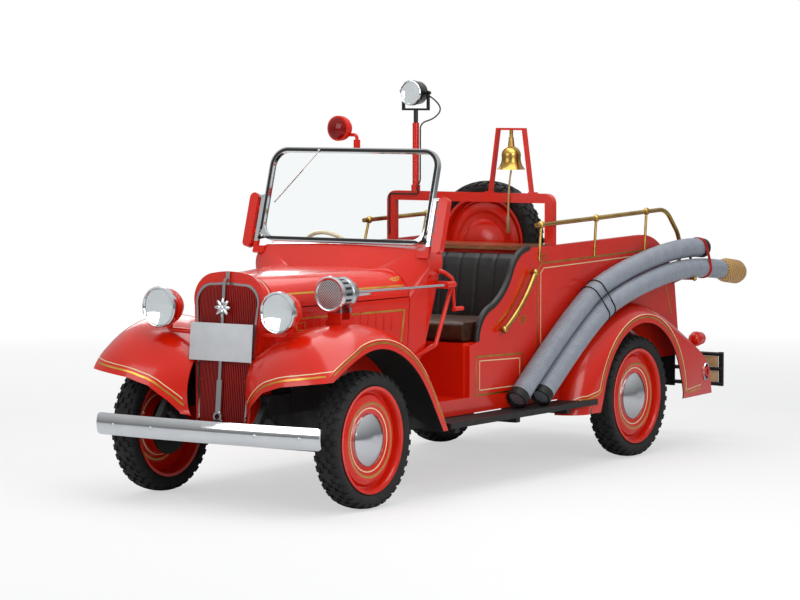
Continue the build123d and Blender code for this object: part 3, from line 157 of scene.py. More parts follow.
def makeEnamel(name, low, high, roughness=0.24):
    # coach enamel: deep gloss under a thin clear coat, a trace of orange peel about 2 mm across
    coat = {"Roughness": roughness, "Coat Weight": 0.5, "Coat Roughness": 0.04, "Coat IOR": 1.4, "IOR": 1.36}
    material, tree, shader, place = newFinish(name, coat)
    drift = addNode(tree, "ShaderNodeTexNoise", {"Scale": 2.2, "Detail": 3.0}, {"Vector": place})
    shadeColour(tree, shader, drift.outputs["Fac"], low, high)
    peel = addNode(tree, "ShaderNodeTexNoise", {"Scale": 420.0, "Detail": 1.0}, {"Vector": place})
    raiseGrain(tree, shader, peel.outputs["Fac"], 0.03, 0.0004)
    return material


def makeMetal(name, low, high, roughness, grainScale, grainStrength):
    # polished metal: the colour drifts a little and fine polishing marks break the reflection
    material, tree, shader, place = newFinish(name, {"Metallic": 1.0, "Roughness": roughness})
    drift = addNode(tree, "ShaderNodeTexNoise", {"Scale": 9.0, "Detail": 4.0}, {"Vector": place})
    shadeColour(tree, shader, drift.outputs["Fac"], low, high)
    marks = addNode(tree, "ShaderNodeTexNoise", {"Scale": grainScale, "Detail": 2.0}, {"Vector": place})
    raiseGrain(tree, shader, marks.outputs["Fac"], grainStrength, 0.0003)
    return material


def makeMatt(name, low, high, roughness, grainScale, grainStrength, depth=0.0006):
    # rubber, leather or satin black: soft colour drift with a pebbled surface
    material, tree, shader, place = newFinish(name, {"Roughness": roughness, "IOR": 1.4})
    drift = addNode(tree, "ShaderNodeTexNoise", {"Scale": 14.0, "Detail": 5.0}, {"Vector": place})
    shadeColour(tree, shader, drift.outputs["Fac"], low, high)
    pebbles = addNode(tree, "ShaderNodeTexVoronoi", {"Scale": grainScale}, {"Vector": place})
    raiseGrain(tree, shader, pebbles.outputs["Distance"], grainStrength, depth)
    return material


def makeWood(name, low, high, along, ring):
    # varnished board: long grain along one axis, rings about 12 mm apart
    material, tree, shader, place = newFinish(name, {"Roughness": 0.32, "Coat Weight": 0.5, "Coat Roughness": 0.15})
    stretch = addNode(tree, "ShaderNodeMapping", {"Scale": along}, {"Vector": place})
    figure = {"Scale": ring, "Detail": 7.0, "Roughness": 0.6, "Distortion": 0.6}
    grain = addNode(tree, "ShaderNodeTexNoise", figure, {"Vector": stretch.outputs["Vector"]})
    shadeColour(tree, shader, grain.outputs["Fac"], low, high, 0.3, 0.7)
    raiseGrain(tree, shader, grain.outputs["Fac"], 0.15, 0.0005)
    return material


def makeGlass(name, tint, roughness=0.0):
    clear = {"Base Color": hexToLinear(tint), "Roughness": roughness, "Transmission Weight": 1.0, "IOR": 1.12}
    material, tree, shader, place = newFinish(name, clear)
    streaks = addNode(tree, "ShaderNodeTexNoise", {"Scale": 30.0}, {"Vector": place})
    raiseGrain(tree, shader, streaks.outputs["Fac"], 0.01, 0.0005)
    return material


def makeWheelPaint(name, centre):
    # red enamel disc with a plated hub cap, a cream line and a gold line, set out by distance from the hub's axis
    material, tree, shader, place = newFinish(name, glossCoat)
    flat = offsetFrom(tree, place, centre, (0.0, 1.0, 1.0))
    reach = addNode(tree, "ShaderNodeVectorMath", {"operation": "LENGTH"}, {0: flat}).outputs["Value"]
    bandFinish(tree, shader, mathStep(tree, "MULTIPLY", reach, 2.0), (
        (0.0, "#b9bcc0", 1.0, 0.12), (0.309, *redRow), (0.366, "#e9dcae", 0.0, 0.35), (0.376, *redRow),
        (0.416, "#b8893a", 1.0, 0.3), (0.444, *redRow),
    ))
    return material


def makeFenderPaint(name, axleY):
    # red enamel outside, and black painted shade on the faces that look towards the axle, where the arch lies in shade
    material, tree, shader, place = newFinish(name, glossCoat)
    facing = addNode(tree, "ShaderNodeTexCoord").outputs["Normal"]
    flat = offsetFrom(tree, place, (0.0, axleY, layout["axleZ"]), (0.0, 1.0, 1.0))
    away = addNode(tree, "ShaderNodeVectorMath", {"operation": "DOT_PRODUCT"}, {0: flat, 1: facing}).outputs["Value"]
    # the upright aprons inside the arch look outwards, nearer the middle than the outer skin; they get the painted
    # shade too
    x = splitAxes(tree, place)["X"]
    outward = mathStep(tree, "GREATER_THAN", mathStep(tree, "MULTIPLY", x, splitAxes(tree, facing)["X"]), 0.2)
    within = mathStep(tree, "LESS_THAN", mathStep(tree, "ABSOLUTE", x), 0.72)
    apron = mathStep(tree, "MULTIPLY", outward, within)
    share = mathStep(tree, "MULTIPLY_ADD", apron, -0.2, mathStep(tree, "ADD", away, 0.5))
    # 0b0b0b is the painted shade under the arch and on its aprons
    bandFinish(tree, shader, share, ((0.0, "#0b0b0b", 0.0, 0.7), (0.43, "#cd1d07", 0.0, 0.24)))
    return material


def makeSplitPaint(name, axis, limit, lowRow, highRow):
    # two finishes on one casting, parted at a height or a length: each row is colour, metallic, roughness
    material, tree, shader, place = newFinish(name, {"IOR": 1.36})
    share = mathStep(tree, "SUBTRACT", splitAxes(tree, place)[axis], limit - 0.5)
    bandFinish(tree, shader, share, ((0.0, *lowRow), (0.5, *highRow)))
    marks = addNode(tree, "ShaderNodeTexNoise", {"Scale": 500.0, "Detail": 2.0}, {"Vector": place})
    raiseGrain(tree, shader, marks.outputs["Fac"], 0.04, 0.0003)
    return material


def makeWeave(name, origin, low, high):
    # basket weave round an axis along y: splints 14 mm wide going over and under; the dips are painted darker, painted
    # shade where the splints pass under
    material, tree, shader, place = newFinish(name, {"Roughness": 0.6})
    parts = splitAxes(tree, offsetFrom(tree, place, origin))
    around = mathStep(tree, "MULTIPLY", mathStep(tree, "ARCTAN2", parts["Z"], parts["X"]), 18.0)
    along = mathStep(tree, "MULTIPLY", parts["Y"], pi / 0.014)
    over = mathStep(tree, "MULTIPLY", mathStep(tree, "SINE", around), mathStep(tree, "SINE", along))
    half = mathStep(tree, "MULTIPLY_ADD", over, 0.5, 0.5)
    # the darker colour in the dips is painted shade
    shadeColour(tree, shader, half, low, high, 0.1, 0.8)
    raiseGrain(tree, shader, half, 1.0, 0.004)
    return material


def makeMeshScreen(name, low, high, pitch):
    # wire gauze: crossed bright wires, with the holes between them painted dark as painted shade from inside the siren
    material, tree, shader, place = newFinish(name, {"Metallic": 0.8, "Roughness": 0.35})
    parts = splitAxes(tree, place)
    lines = []
    for sign in (1.0, -1.0):
        lean = mathStep(tree, "MULTIPLY_ADD", parts["X"], sign, parts["Z"])
        lines.append(mathStep(tree, "SINE", mathStep(tree, "MULTIPLY", lean, 2 * pi / pitch)))
    shadeColour(tree, shader, mathStep(tree, "MAXIMUM", *lines), low, high, 0.45, 0.7)
    return material


redRow, steelRow = ("#cd1d07", 0.0, 0.25), ("#b0b3b6", 1.0, 0.2)
fireRed = makeEnamel("fireRedEnamel", "#cb1c06", "#d22008")
# a darker copy of the red enamel: painted shade on the grille bars set back in the shell
grilleShadeRed = makeEnamel("shadedGrilleEnamel", "#8d0f06", "#a5140a", 0.3)
chrome = makeMetal("chromePlate", "#c6c9cc", "#cccfd1", 0.06, 300.0, 0.02)
steel = makeMetal("polishedSteel", "#a4a7aa", "#bdbfc1", 0.2, 700.0, 0.08)
brass = makeMetal("polishedBrass", "#96753a", "#b8974f", 0.24, 500.0, 0.06)
goldLeaf = makeMetal("goldLeaf", "#b08331", "#cda550", 0.34, 600.0, 0.1)
creamLine = makeEnamel("creamLiningPaint", "#dccb98", "#e6d9ad", 0.35)
blackEnamel = makeEnamel("blackEnamel", "#0a0a0a", "#121212", 0.28)
chassisBlack = makeMatt("satinChassisBlack", "#0d0d0d", "#191919", 0.5, 260.0, 0.15)
ironGrey = makeMatt("greyCastIron", "#303234", "#45484a", 0.6, 180.0, 0.4)
tyreRubber = makeMatt("tyreRubber", "#141414", "#202020", 0.75, 420.0, 0.25)
blackRubber = makeMatt("blackRubber", "#0c0c0c", "#161616", 0.6, 500.0, 0.2)
blackLeather = makeMatt("blackHide", "#0d0c0c", "#1b1918", 0.42, 330.0, 0.5)
brownLeather = makeMatt("brownHide", "#2c1a12", "#452a1b", 0.45, 330.0, 0.5)
hoseGrey = makeMatt("greyRibbedHose", "#868c96", "#8f959e", 0.3, 90.0, 0.05)
boardWood = makeWood("varnishedBoard", "#5a2f16", "#8a5228", (1.0, 9.0, 9.0), 9.0)
handleWood = makeWood("turnedBeech", "#6e4526", "#96683c", (9.0, 9.0, 1.0), 9.0)
ropeHemp = makeMatt("hempRope", "#a58a58", "#c8ad78", 0.85, 300.0, 0.8)
ivory = makeEnamel("ivoryCelluloid", "#d8caa4", "#e6dab9", 0.35)
plateGrey = makeMatt("bareGreyPlate", "#bdc0c2", "#c3c6c8", 0.4, 60.0, 0.05)
tanBoard = makeMatt("tanFibreBoard", "#a98c62", "#c0a378", 0.7, 200.0, 0.3)
redWebbing = makeMatt("redWebbing", "#8f0f10", "#b11719", 0.8, 400.0, 0.6)
clearGlass = makeGlass("clearSheetGlass", "#f4f8f8")
redGlass = makeGlass("rubyGlass", "#9c0a08", 0.05)
lampGlass = makeGlass("flutedLampGlass", "#fbfdfd", 0.02)
# 101010 is painted shade in the holes of the gauze
gauze = makeMeshScreen("sirenGauze", "#101010", "#c2c5c7", 0.017)
spareCentre = (0.0, 0.520, 1.437)
frontWheelPaint = makeWheelPaint("frontWheelPaint", (0.0, layout["frontAxleY"], layout["axleZ"]))
rearWheelPaint = makeWheelPaint("rearWheelPaint", (0.0, layout["rearAxleY"], layout["axleZ"]))
frontFenderPaint = makeFenderPaint("frontFenderPaint", layout["frontAxleY"])
rearFenderPaint = makeFenderPaint("rearFenderPaint", layout["rearAxleY"])
sirenPaint = makeSplitPaint("sirenSteelOnRedFoot", "Z", 1.148, redRow, steelRow)
drivePaint = makeSplitPaint("driveSteelWithRedBox", "Y", -1.135, steelRow, redRow)
warningPaint = makeSplitPaint("warningLampRubyAndBlack", "Y", -1.066, ("#7a0706", 0.0, 0.08), redRow)
screenPaint = makeSplitPaint("screenChromeOnRedFeet", "Z", 1.497, redRow, ("#c6c9cc", 1.0, 0.07))
wicker = makeWeave("peeledWillow", (0.784, 2.335, 1.190), "#8a5f2c", "#d0a768")

# which nodes wear which finish; tyres and wheels go by their names
finishNodes = (
    (fireRed, "bed bell_frame body_sides cab_floor cowl grab_hoops grille_shell headlamp_shells hood_sides hood_top_left"),
    (fireRed, "hood_top_right hoop indicators rear_lamps spare_wheel"),
    (chassisBlack, "chassis_frame front_axle knuckle_left knuckle_right rear_axle rear_guard running_boards splash_panels tie_rod"),
    (chrome, "front_bumper grille_trim"), (brass, "bell brass_rails"), (ropeHemp, "bell_rope"), (ironGrey, "engine_gearbox"),
    (grilleShadeRed, "grille_bars"), (lampGlass, "headlamp_lenses"), (clearGlass, "windscreen_glass"), (screenPaint, "windscreen_frame"),
    (frontFenderPaint, "front_fenders"), (rearFenderPaint, "rear_fenders"), (blackRubber, "lamp_lead lamp_lead_loop"),
    (blackEnamel, "searchlight steering_column"), (ivory, "steering_wheel"), (blackLeather, "seat_back seat_rolls"),
    (brownLeather, "seat_cushion"), (sirenPaint, "siren"), (drivePaint, "siren_drive"), (warningPaint, "warning_lamp"),
    (tyreRubber, "spare_tyre"), (wicker, "strainer_basket"), (hoseGrey, "suction_hoses"), (boardWood, "wood_board"),
)
nodeFinish = {name: finish for finish, names in finishNodes for name in names.split()}
for name, obj in nodes.items():
    if name.startswith("tyre_"):
        nodeFinish[name] = tyreRubber
    if name.startswith("wheel_"):
        nodeFinish[name] = frontWheelPaint if "front" in name else rearWheelPaint
    obj.data.materials.clear()
    obj.data.materials.append(nodeFinish[name])
print("finishes on the solids")

# building and placing new pieces
def linkMesh(name, verts, edges, faces):
    mesh = bpy.data.meshes.new(name)
    mesh.from_pydata([tuple(v) for v in verts], edges, faces)
    obj = bpy.data.objects.new(name, mesh)
    bpy.context.collection.objects.link(obj)
    return obj


def editAll(obj):
    pick(obj)
    bpy.ops.object.mode_set(mode="EDIT")
    bpy.ops.mesh.select_all(action="SELECT")


def closeUp(obj):
    editAll(obj)
    bpy.ops.mesh.remove_doubles(threshold=0.00002)
    bpy.ops.mesh.normals_make_consistent(inside=False)
    bpy.ops.object.mode_set(mode="OBJECT")


def joinAll(objects):
    deselectAll()
    for obj in objects:
        obj.select_set(True)
    bpy.context.view_layer.objects.active = objects[0]
    if len(objects) > 1:
        bpy.ops.object.join()
    return objects[0]


def finishPiece(obj, name, finish, body=mainBody, smooth=40.0):
    obj.name = obj.data.name = name
    pick(obj)
    bpy.ops.object.transform_apply(location=True, rotation=True, scale=True)
    if obj.type == "MESH":
        bpy.ops.object.shade_smooth_by_angle(angle=radians(smooth))
    obj.data.materials.clear()
    obj.data.materials.append(finish)
    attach(obj, body)
    return obj


def spinShape(rows, place, axis, steps=48):
    # rows hold (along, radius) pairs of an outline that is spun about the axis through place
    obj = linkMesh("turned", [(radius, 0.0, along) for along, radius in rows], [(i, i + 1) for i in range(len(rows) - 1)], [])
    editAll(obj)
    bpy.ops.mesh.spin(steps=steps, angle=2 * pi, center=(0, 0, 0), axis=(0, 0, 1))
    closeUp(obj)
    obj.matrix_world = Matrix.Translation(place) @ Vector(axis).to_track_quat("Z", "Y").to_matrix().to_4x4()
    pick(obj)
    bpy.ops.object.transform_apply(location=True, rotation=True, scale=True)
    return obj


def cutBlock(centre, size, bevel=0.001, turn=None):
    bpy.ops.mesh.primitive_cube_add(size=1.0)
    obj = bpy.context.object
    obj.scale = size
    bpy.ops.object.transform_apply(location=False, rotation=False, scale=True)
    rounding = obj.modifiers.new("edges", "BEVEL")
    rounding.width = bevel
    rounding.segments = 2
    bpy.ops.object.modifier_apply(modifier="edges")
    obj.matrix_world = Matrix.Translation(centre) @ (turn or Matrix.Identity(4))
    pick(obj)
    bpy.ops.object.transform_apply(location=True, rotation=True, scale=True)
    return obj


def nurbsCurve(name, points, thick=0.0, cyclic=False):
    curve = bpy.data.curves.new(name, "CURVE")
    curve.dimensions = "3D"
    curve.resolution_u = 24
    curve.bevel_depth = thick
    curve.bevel_resolution = 4
    spline = curve.splines.new("NURBS")
    spline.points.add(len(points) - 1)
    for spot, place in zip(spline.points, points):
        spot.co = (*place, 1.0)
    spline.use_cyclic_u = cyclic
    spline.order_u = 3
    spline.use_endpoint_u = not cyclic
    obj = bpy.data.objects.new(name, curve)
    bpy.context.collection.objects.link(obj)
    return obj


def readRoute(points):
    guide = nurbsCurve("guide", points)
    bpy.context.view_layer.update()
    line = bpy.data.meshes.new_from_object(guide)
    spots = [v.co.copy() for v in line.vertices]
    bpy.data.objects.remove(guide)
    bpy.data.meshes.remove(line)
    return spots


def routeLength(spots):
    return sum((b - a).length for a, b in zip(spots[:-1], spots[1:]))


def spotAt(spots, distance):
    # the place and direction at a distance along a route
    for a, b in zip(spots[:-1], spots[1:]):
        step = (b - a).length
        if distance <= step or b is spots[-1]:
            return a + (b - a) * (distance / step), (b - a).normalized()
        distance -= step


def ringTube(spots, stations, around=24, level=Vector((1, 0, 0))):
    # a tube whose radius changes along its route: stations are (distance, radius) pairs
    verts, faces = [], []
    for distance, radius in stations:
        place, forward = spotAt(spots, distance)
        up = forward.cross(level).normalized()
        side = up.cross(forward).normalized()
        for k in range(around):
            turn = 2 * pi * k / around
            verts.append(place + (side * cos(turn) + up * sin(turn)) * radius)
    for ring in range(len(stations) - 1):
        for k in range(around):
            a, b = ring * around + k, ring * around + (k + 1) % around
            faces.append((a, b, b + around, a + around))
    last = (len(stations) - 1) * around
    faces.append(tuple(reversed(range(around))))
    faces.append(tuple(range(last, last + around)))
    obj = linkMesh("tube", verts, [], faces)
    closeUp(obj)
    return obj


stripeLift = 0.0007
skins = {}


def skinOf(nodeName):
    # a node's surface, kept for quick nearest-point and line-of-sight questions
    if nodeName not in skins:
        mesh = nodes[nodeName].data
        skins[nodeName] = BVHTree.FromPolygons([v.co for v in mesh.vertices], [tuple(face.vertices) for face in mesh.polygons])
    return skins[nodeName]


def layRibbon(nodeName, route, width):
    # a painted line: the route is cut into 20 mm steps, laid on the node's skin and given 0.6 mm of body
    surface = skinOf(nodeName)
    spots = []
    for a, b in zip(route[:-1], route[1:]):
        a, b = Vector(a), Vector(b)
        steps = max(1, round((b - a).length / 0.02))
        spots += [a.lerp(b, k / steps) for k in range(steps)]
    spots.append(Vector(route[-1]))
    laid = [surface.find_nearest(spot) for spot in spots]
    verts, faces = [], []
    for i, (spot, normal, index, gap) in enumerate(laid):
        forward = laid[min(i + 1, len(laid) - 1)][0] - laid[max(i - 1, 0)][0]
        side = normal.cross(forward).normalized()
        for reach in (-0.5, 0.5):
            edge, tilt, index, gap = surface.find_nearest(spot + side * width * reach)
            verts.append(edge + tilt * stripeLift)
    for i in range(len(laid) - 1):
        faces.append((2 * i, 2 * i + 1, 2 * i + 3, 2 * i + 2))
    ribbon = linkMesh("ribbon", verts, [], faces)
    pick(ribbon)
    body = ribbon.modifiers.new("body", "SOLIDIFY")
    body.thickness = 0.0006
    body.offset = 0.0
    bpy.ops.object.modifier_apply(modifier="body")
    return ribbon


def mirrored(route):
    return [(-x, y, z) for x, y, z in route]


# tyres: spun carcass with staggered tread blocks raised from it
tyreShape = {"steps": 76, "lug": 0.009, "treadFrom": 0.378}
carcass = [
    # across, radius
    (-0.0625, 0.300), (-0.0625, 0.318), (-0.0765, 0.338), (-0.0815, 0.358),
    (-0.0785, 0.376), (-0.069, 0.387), (-0.045, 0.393), (-0.016, 0.3965),
]
carcass += [(-across, radius) for across, radius in reversed(carcass)] + [carcass[0]]


def makeTyre(name, node, centre, axis, body):
    tyre = spinShape(carcass, (0, 0, 0), (0, 0, 1), tyreShape["steps"])
    editAll(tyre)
    bpy.ops.mesh.select_mode(type="FACE")
    bpy.ops.mesh.select_all(action="DESELECT")
    bpy.ops.object.mode_set(mode="OBJECT")
    for face in tyre.data.polygons:
        across, radius = abs(face.center.z), sqrt(face.center.x ** 2 + face.center.y ** 2)
        if radius < tyreShape["treadFrom"]:
            continue
        block = int((atan2(face.center.y, face.center.x) % (2 * pi)) / (2 * pi) * tyreShape["steps"])
        middle = 0.02 < across < 0.04
        face.select = (block % 2 == 1) if middle else (block % 2 == 0)
        if across < 0.01:
            face.select = block % 4 != 1
    bpy.ops.object.mode_set(mode="EDIT")
    bpy.ops.mesh.extrude_region_shrink_fatten(TRANSFORM_OT_shrink_fatten={"value": tyreShape["lug"]})
    bpy.ops.object.mode_set(mode="OBJECT")
    tyre.matrix_world = Matrix.Translation(centre) @ Vector(axis).to_track_quat("Z", "Y").to_matrix().to_4x4()
    finishPiece(tyre, name, tyreRubber, body, 32.0)
    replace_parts(tyre, node)


for side, sideName in ((1, "left"), (-1, "right")):
    for end, axleY in (("front", layout["frontAxleY"]), ("rear", layout["rearAxleY"])):
        label = end + "_" + sideName
        hub = (side * layout["wheelX"], axleY, layout["axleZ"])
        makeTyre("treadedTyre_" + label, "tyre_" + label, hub, (side, 0, 0), "wheel_" + label)
makeTyre("treadedTyre_spare", "spare_tyre", spareCentre, (0, -1, 0), mainBody)
print("tyres treaded")

# headlamps: silvered bowl, bowed glass, plated bezel
headlamp = {"x": 0.433, "y": -2.446, "z": 1.161}
bowlRows = ((0.0228, 0.0), (0.0215, 0.03), (0.017, 0.06), (0.010, 0.085), (0.0035, 0.1075))
glassRows = (
    (-0.011, 0.0), (-0.0102, 0.03), (-0.0075, 0.06), (-0.003, 0.088), (0.0015, 0.1075),
    (0.0035, 0.1075), (-0.0005, 0.088), (-0.005, 0.06), (-0.0078, 0.03), (-0.0085, 0.0),
)
bezelRows = (
    (-0.004, 0.106), (-0.011, 0.1105), (-0.0125, 0.116), (-0.006, 0.1225), (0.010, 0.1235),
    (0.022, 0.1225), (0.022, 0.1215), (0.004, 0.108), (-0.004, 0.106),
)
rearward = (0, 1, 0)
lampPlaces = [(side * headlamp["x"], headlamp["y"], headlamp["z"]) for side in (1, -1)]


def lampPair(rows, name, finish):
    return finishPiece(joinAll([spinShape(rows, place, rearward, 56) for place in lampPlaces]), name, finish)


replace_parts(lampPair(glassRows, "headlampGlass", lampGlass), "headlamp_lenses")
lampPair(bowlRows, "headlampBowls", chrome)
lampPair(bezelRows, "headlampBezels", chrome)

# searchlight: the same three rings at their own size
searchPlace = (-0.430, 0.241, 2.423)
searchRings = (
    # outline, share of its depth, setback, share of its radius, name, finish
    (bezelRows, 0.7, 0.004, 0.678, "searchlightBezel", chrome),
    (glassRows, 0.5, 0.004, 0.70, "searchlightGlass", lampGlass),
    (bowlRows, 0.2, 0.0035, 0.70, "searchlightBowl", chrome),
)
for rows, depth, setback, width, name, finish in searchRings:
    ring = spinShape([(along * depth - setback, radius * width) for along, radius in rows], searchPlace, rearward)
    finishPiece(ring, name, finish, "searchlight")
print("lamps glazed")

# siren: gauze over the mouth, rolled rim, black blocks as painted shade in the slots round the drum
siren = {"x": 0.620, "y": -2.190, "z": 1.260, "slots": 16, "slotRadius": 0.0915, "slotBack": 0.073}
sirenPlace = (siren["x"], siren["y"], siren["z"])
discRows = ((-0.0006, 0.0), (-0.0006, 0.088), (-0.002, 0.088), (-0.002, 0.0))
rimRows = ((-0.002, 0.085), (-0.007, 0.090), (-0.008, 0.099), (-0.003, 0.1065), (0.009, 0.1075), (0.012, 0.104), (-0.002, 0.085))
finishPiece(spinShape(discRows, sirenPlace, rearward), "sirenGauzeDisc", gauze)
finishPiece(spinShape(rimRows, sirenPlace, rearward, 56), "sirenRim", chrome)
# black blocks: painted shade where the slots open into the drum
slots = []
for step in range(siren["slots"]):
    turn = 2 * pi * step / siren["slots"]
    reach = siren["slotRadius"]
    spot = (siren["x"] + reach * cos(turn), siren["y"] + siren["slotBack"], siren["z"] + reach * sin(turn))
    slots.append(cutBlock(spot, (0.003, 0.058, 0.016), 0.0008, Matrix.Rotation(-turn, 4, "Y")))
finishPiece(joinAll(slots), "sirenSlots", blackRubber)
print("siren dressed")

# suction hoses: ribbed tube on each route, rubber cuffs, a tie cord and a red strap
hose = {"radius": 0.0662, "pitch": 0.019, "rib": 0.0058, "cuff": 0.058}
innerRoute = readRoute((
    (0.752, -0.336, 0.494), (0.752, 0.442, 1.076), (0.752, 1.012, 1.255), (0.752, 1.838, 1.376), (0.752, 2.115, 1.349),
))
outerRoute = readRoute((
    (0.800, -0.125, 0.494), (0.800, 0.500, 0.962), (0.800, 1.040, 1.132), (0.800, 1.840, 1.249), (0.784, 2.335, 1.190),
))
footCuff = ((0.03, 0.012), (0.03, 0.056), (0.0, 0.0575), (0.0, 0.067), (hose["cuff"], 0.067), (hose["cuff"], 0.058))
tailCuff = ((0.06, 0.058), (0.06, 0.067), (0.0, 0.067), (0.0, 0.05), (0.012, 0.048), (0.012, 0.01))
# one rib: share of the pitch, depth below the crest
ribRows = ((0.0, hose["rib"]), (0.3, 0.0006), (0.65, 0.0))
tubes, cuffs = [], []
for route in (innerRoute, outerRoute):
    run = routeLength(route)
    stations = [(0.02, 0.05)]
    for rib in range(int((run - 0.03) / hose["pitch"])):
        start = 0.02 + rib * hose["pitch"]
        stations += [(start + share * hose["pitch"], hose["radius"] - depth) for share, depth in ribRows]
    stations.append((run - 0.004, 0.05))
    tubes.append(ringTube(route, stations, 24))
    cuffs.append(ringTube(route, footCuff, 32))
run = routeLength(innerRoute)
cuffs.append(ringTube(innerRoute, [(run - reach, radius) for reach, radius in tailCuff], 32))
ribbed = finishPiece(joinAll(tubes), "ribbedHoses", hoseGrey, smooth=60.0)
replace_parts(ribbed, "suction_hoses")
finishPiece(joinAll(cuffs), "hoseCuffs", blackRubber)


def roundBoth(distance, radius, thick):
    # a cord taken once round both hoses, square to the outer one
    centre, forward = spotAt(outerRoute, distance)
    near = min(innerRoute, key=lambda spot: abs((spot - centre).dot(forward)))
    other = near - forward * (near - centre).dot(forward)
    out = (centre - other).normalized()
    up = forward.cross(out).normalized()
    loop = []
    for hub, start in ((centre, -90), (other, 90)):
        for step in range(7):
            turn = radians(start + 30 * step)
            loop.append(hub + (out * cos(turn) + up * sin(turn)) * radius)
    cord = nurbsCurve("tie", loop, thick, True)
    pick(cord)
    bpy.ops.object.convert(target="MESH")
    return bpy.context.object


ties = (
    # distances along the outer hose, radius, thickness, name, finish
    ((0.905, 0.985), 0.0715, 0.0042, "hoseTieCord", blackRubber),
    ((2.33, 2.338, 2.346, 2.354), 0.0705, 0.0038, "hoseRedStrap", redWebbing),
)
for distances, radius, thick, name, finish in ties:
    finishPiece(joinAll([roundBoth(distance, radius, thick) for distance in distances]), name, finish)
print("hoses ribbed")

# lining: gold and cream lines on fenders, body, hood and nose
# fender edges as degrees round the axle and radius; the mouth's edge as x and z
frontEdge = ((-4, 0.715), (12, 0.602), (35, 0.549), (62, 0.533), (90, 0.537), (112, 0.545))
rearEdge = (
    (171, 0.531), (165, 0.525), (140, 0.505), (115, 0.495), (90, 0.492),
    (62, 0.494), (40, 0.499), (22, 0.508), (8, 0.522), (-3, 0.536),
)
mouthEdge = ((0.80, 0.777), (0.56, 0.748), (0.42, 0.706), (0.31, 0.622), (0.25, 0.556))


def polarRoute(rows, axleY, proud, x=0.872):
    route = []
    for (angleA, radiusA), (angleB, radiusB) in zip(rows[:-1], rows[1:]):
        steps = max(1, round(abs(angleB - angleA) / 3))
        for k in range(steps):
            share = k / steps
            turn, reach = radians(angleA + (angleB - angleA) * share), radiusA + (radiusB - radiusA) * share + proud
            route.append((x, axleY + reach * cos(turn), layout["axleZ"] + reach * sin(turn)))
    return route


def cornerRoute(proud):
    # the line round the front fender's outer corner, a set height above the lower edge that is met first
    route = []
    for bearing in (10, 20, 30, 40):
        out = Vector((cos(radians(bearing)), -sin(radians(bearing)), 0.0))
        for step in range(80):
            far = Vector((0.62, -2.35, 0.62 + 0.006 * step)) + out * 0.9
            spot, normal, index, gap = skinOf("front_fenders").ray_cast(far, -out)
            if spot and gap < 0.76:
                spot, normal, index, gap = skinOf("front_fenders").ray_cast(far + Vector((0, 0, proud)), -out)
                route.append(tuple(spot))
                break
    return route


def mouthRoute(proud):
    # the line above the front fender's mouth, found by looking at the fender from the front
    route = []
    for (xa, za), (xb, zb) in zip(mouthEdge[:-1], mouthEdge[1:]):
        run = sqrt((xb - xa) ** 2 + (zb - za) ** 2)
        across, rise = (zb - za) / run, -(xb - xa) / run
        for share in (0.15, 0.5, 0.85):
            x, z = xa + (xb - xa) * share + across * proud, za + (zb - za) * share + rise * proud
            spot, normal, index, gap = skinOf("front_fenders").ray_cast(Vector((x, -3.2, z)), Vector((0, 1, 0)))
            if spot:
                route.append(tuple(spot))
    return route


goldWidth, creamWidth = 0.011, 0.0055
goldRoutes, creamRoutes = [], []
for routes, lift in ((goldRoutes, 0.036), (creamRoutes, 0.058)):
    routes.append(("front_fenders", polarRoute(frontEdge, layout["frontAxleY"], lift) + cornerRoute(lift) + mouthRoute(lift)))
    foot = ((0.87, 0.10, 0.43 + lift), (0.87, 0.38, 0.41 + lift), (0.87, 0.50, 0.43 + lift))
    tail = ((0.87, 1.72, 0.345 + lift), (0.87, 1.93, 0.36 + lift))
    routes.append(("rear_fenders", list(foot) + polarRoute(rearEdge, layout["rearAxleY"], lift) + list(tail)))
bodyX = 0.69


def bodyRoute(*rows):
    # a line on the flat body side, given as y and z
    return "body_sides", [(bodyX, y, z) for y, z in rows]


goldRoutes += [
    bodyRoute(
        (0.04, 0.62), (0.04, 1.30), (0.09, 1.336), (0.63, 1.345), (1.40, 1.362),
        (1.535, 1.348), (1.60, 1.305), (1.715, 1.135), (1.807, 0.906),
    ),
    bodyRoute((-0.104, 1.266), (-0.178, 1.167), (-0.297, 1.063), (-0.445, 0.985)),
    bodyRoute((-0.69, 0.79), (-0.14, 0.775), (-0.14, 0.545), (-0.69, 0.549), (-0.69, 0.79)),
    ("hood_sides", [(0.30, -2.20, 1.10), (0.585, -1.33, 1.116), (0.575, -1.36, 0.80)]),
]
creamRoutes += [
    bodyRoute((0.075, 0.66), (0.075, 1.275), (0.11, 1.304), (0.73, 1.316), (1.48, 1.332), (1.553, 1.304)),
    bodyRoute((-0.65, 0.762), (-0.175, 0.747), (-0.175, 0.60), (-0.22, 0.575), (-0.65, 0.579), (-0.65, 0.762)),
    ("grille_shell", [(0.10, -2.285, 1.40), (0.17, -2.285, 1.36), (0.24, -2.285, 1.28), (0.27, -2.285, 1.16)]),
]
lidRoute = [(0.30, -2.24, 1.262), (0.545, -1.31, 1.262)]
for label, routes, width, finish in (("gold", goldRoutes, goldWidth, goldLeaf), ("cream", creamRoutes, creamWidth, creamLine)):
    ribbons = [layRibbon(node, route, width) for node, path in routes for route in (path, mirrored(path))]
    finishPiece(joinAll(ribbons), label + "Lining", finish)
finishPiece(layRibbon("hood_top_left", lidRoute, goldWidth), "goldLining_hoodLeft", goldLeaf, "hood_left")
finishPiece(layRibbon("hood_top_right", mirrored(lidRoute), goldWidth), "goldLining_hoodRight", goldLeaf, "hood_right")


def scrollRoute(place, size, flip):
    route = []
    for step in range(25):
        turn, reach = 2.6 * pi * step / 24, size * (1 - 0.8 * step / 24)
        route.append((place[0], place[1] + flip * (0.6 * size + reach * cos(turn)), place[2] + reach * sin(turn)))
    return route


def scrollPair(node, place, size, flipSide):
    routes = [scrollRoute(place, size, flip) for flip in (1, -1)]
    return [layRibbon(node, [(flipSide * x, y, z) for x, y, z in route], 0.0065) for route in routes]


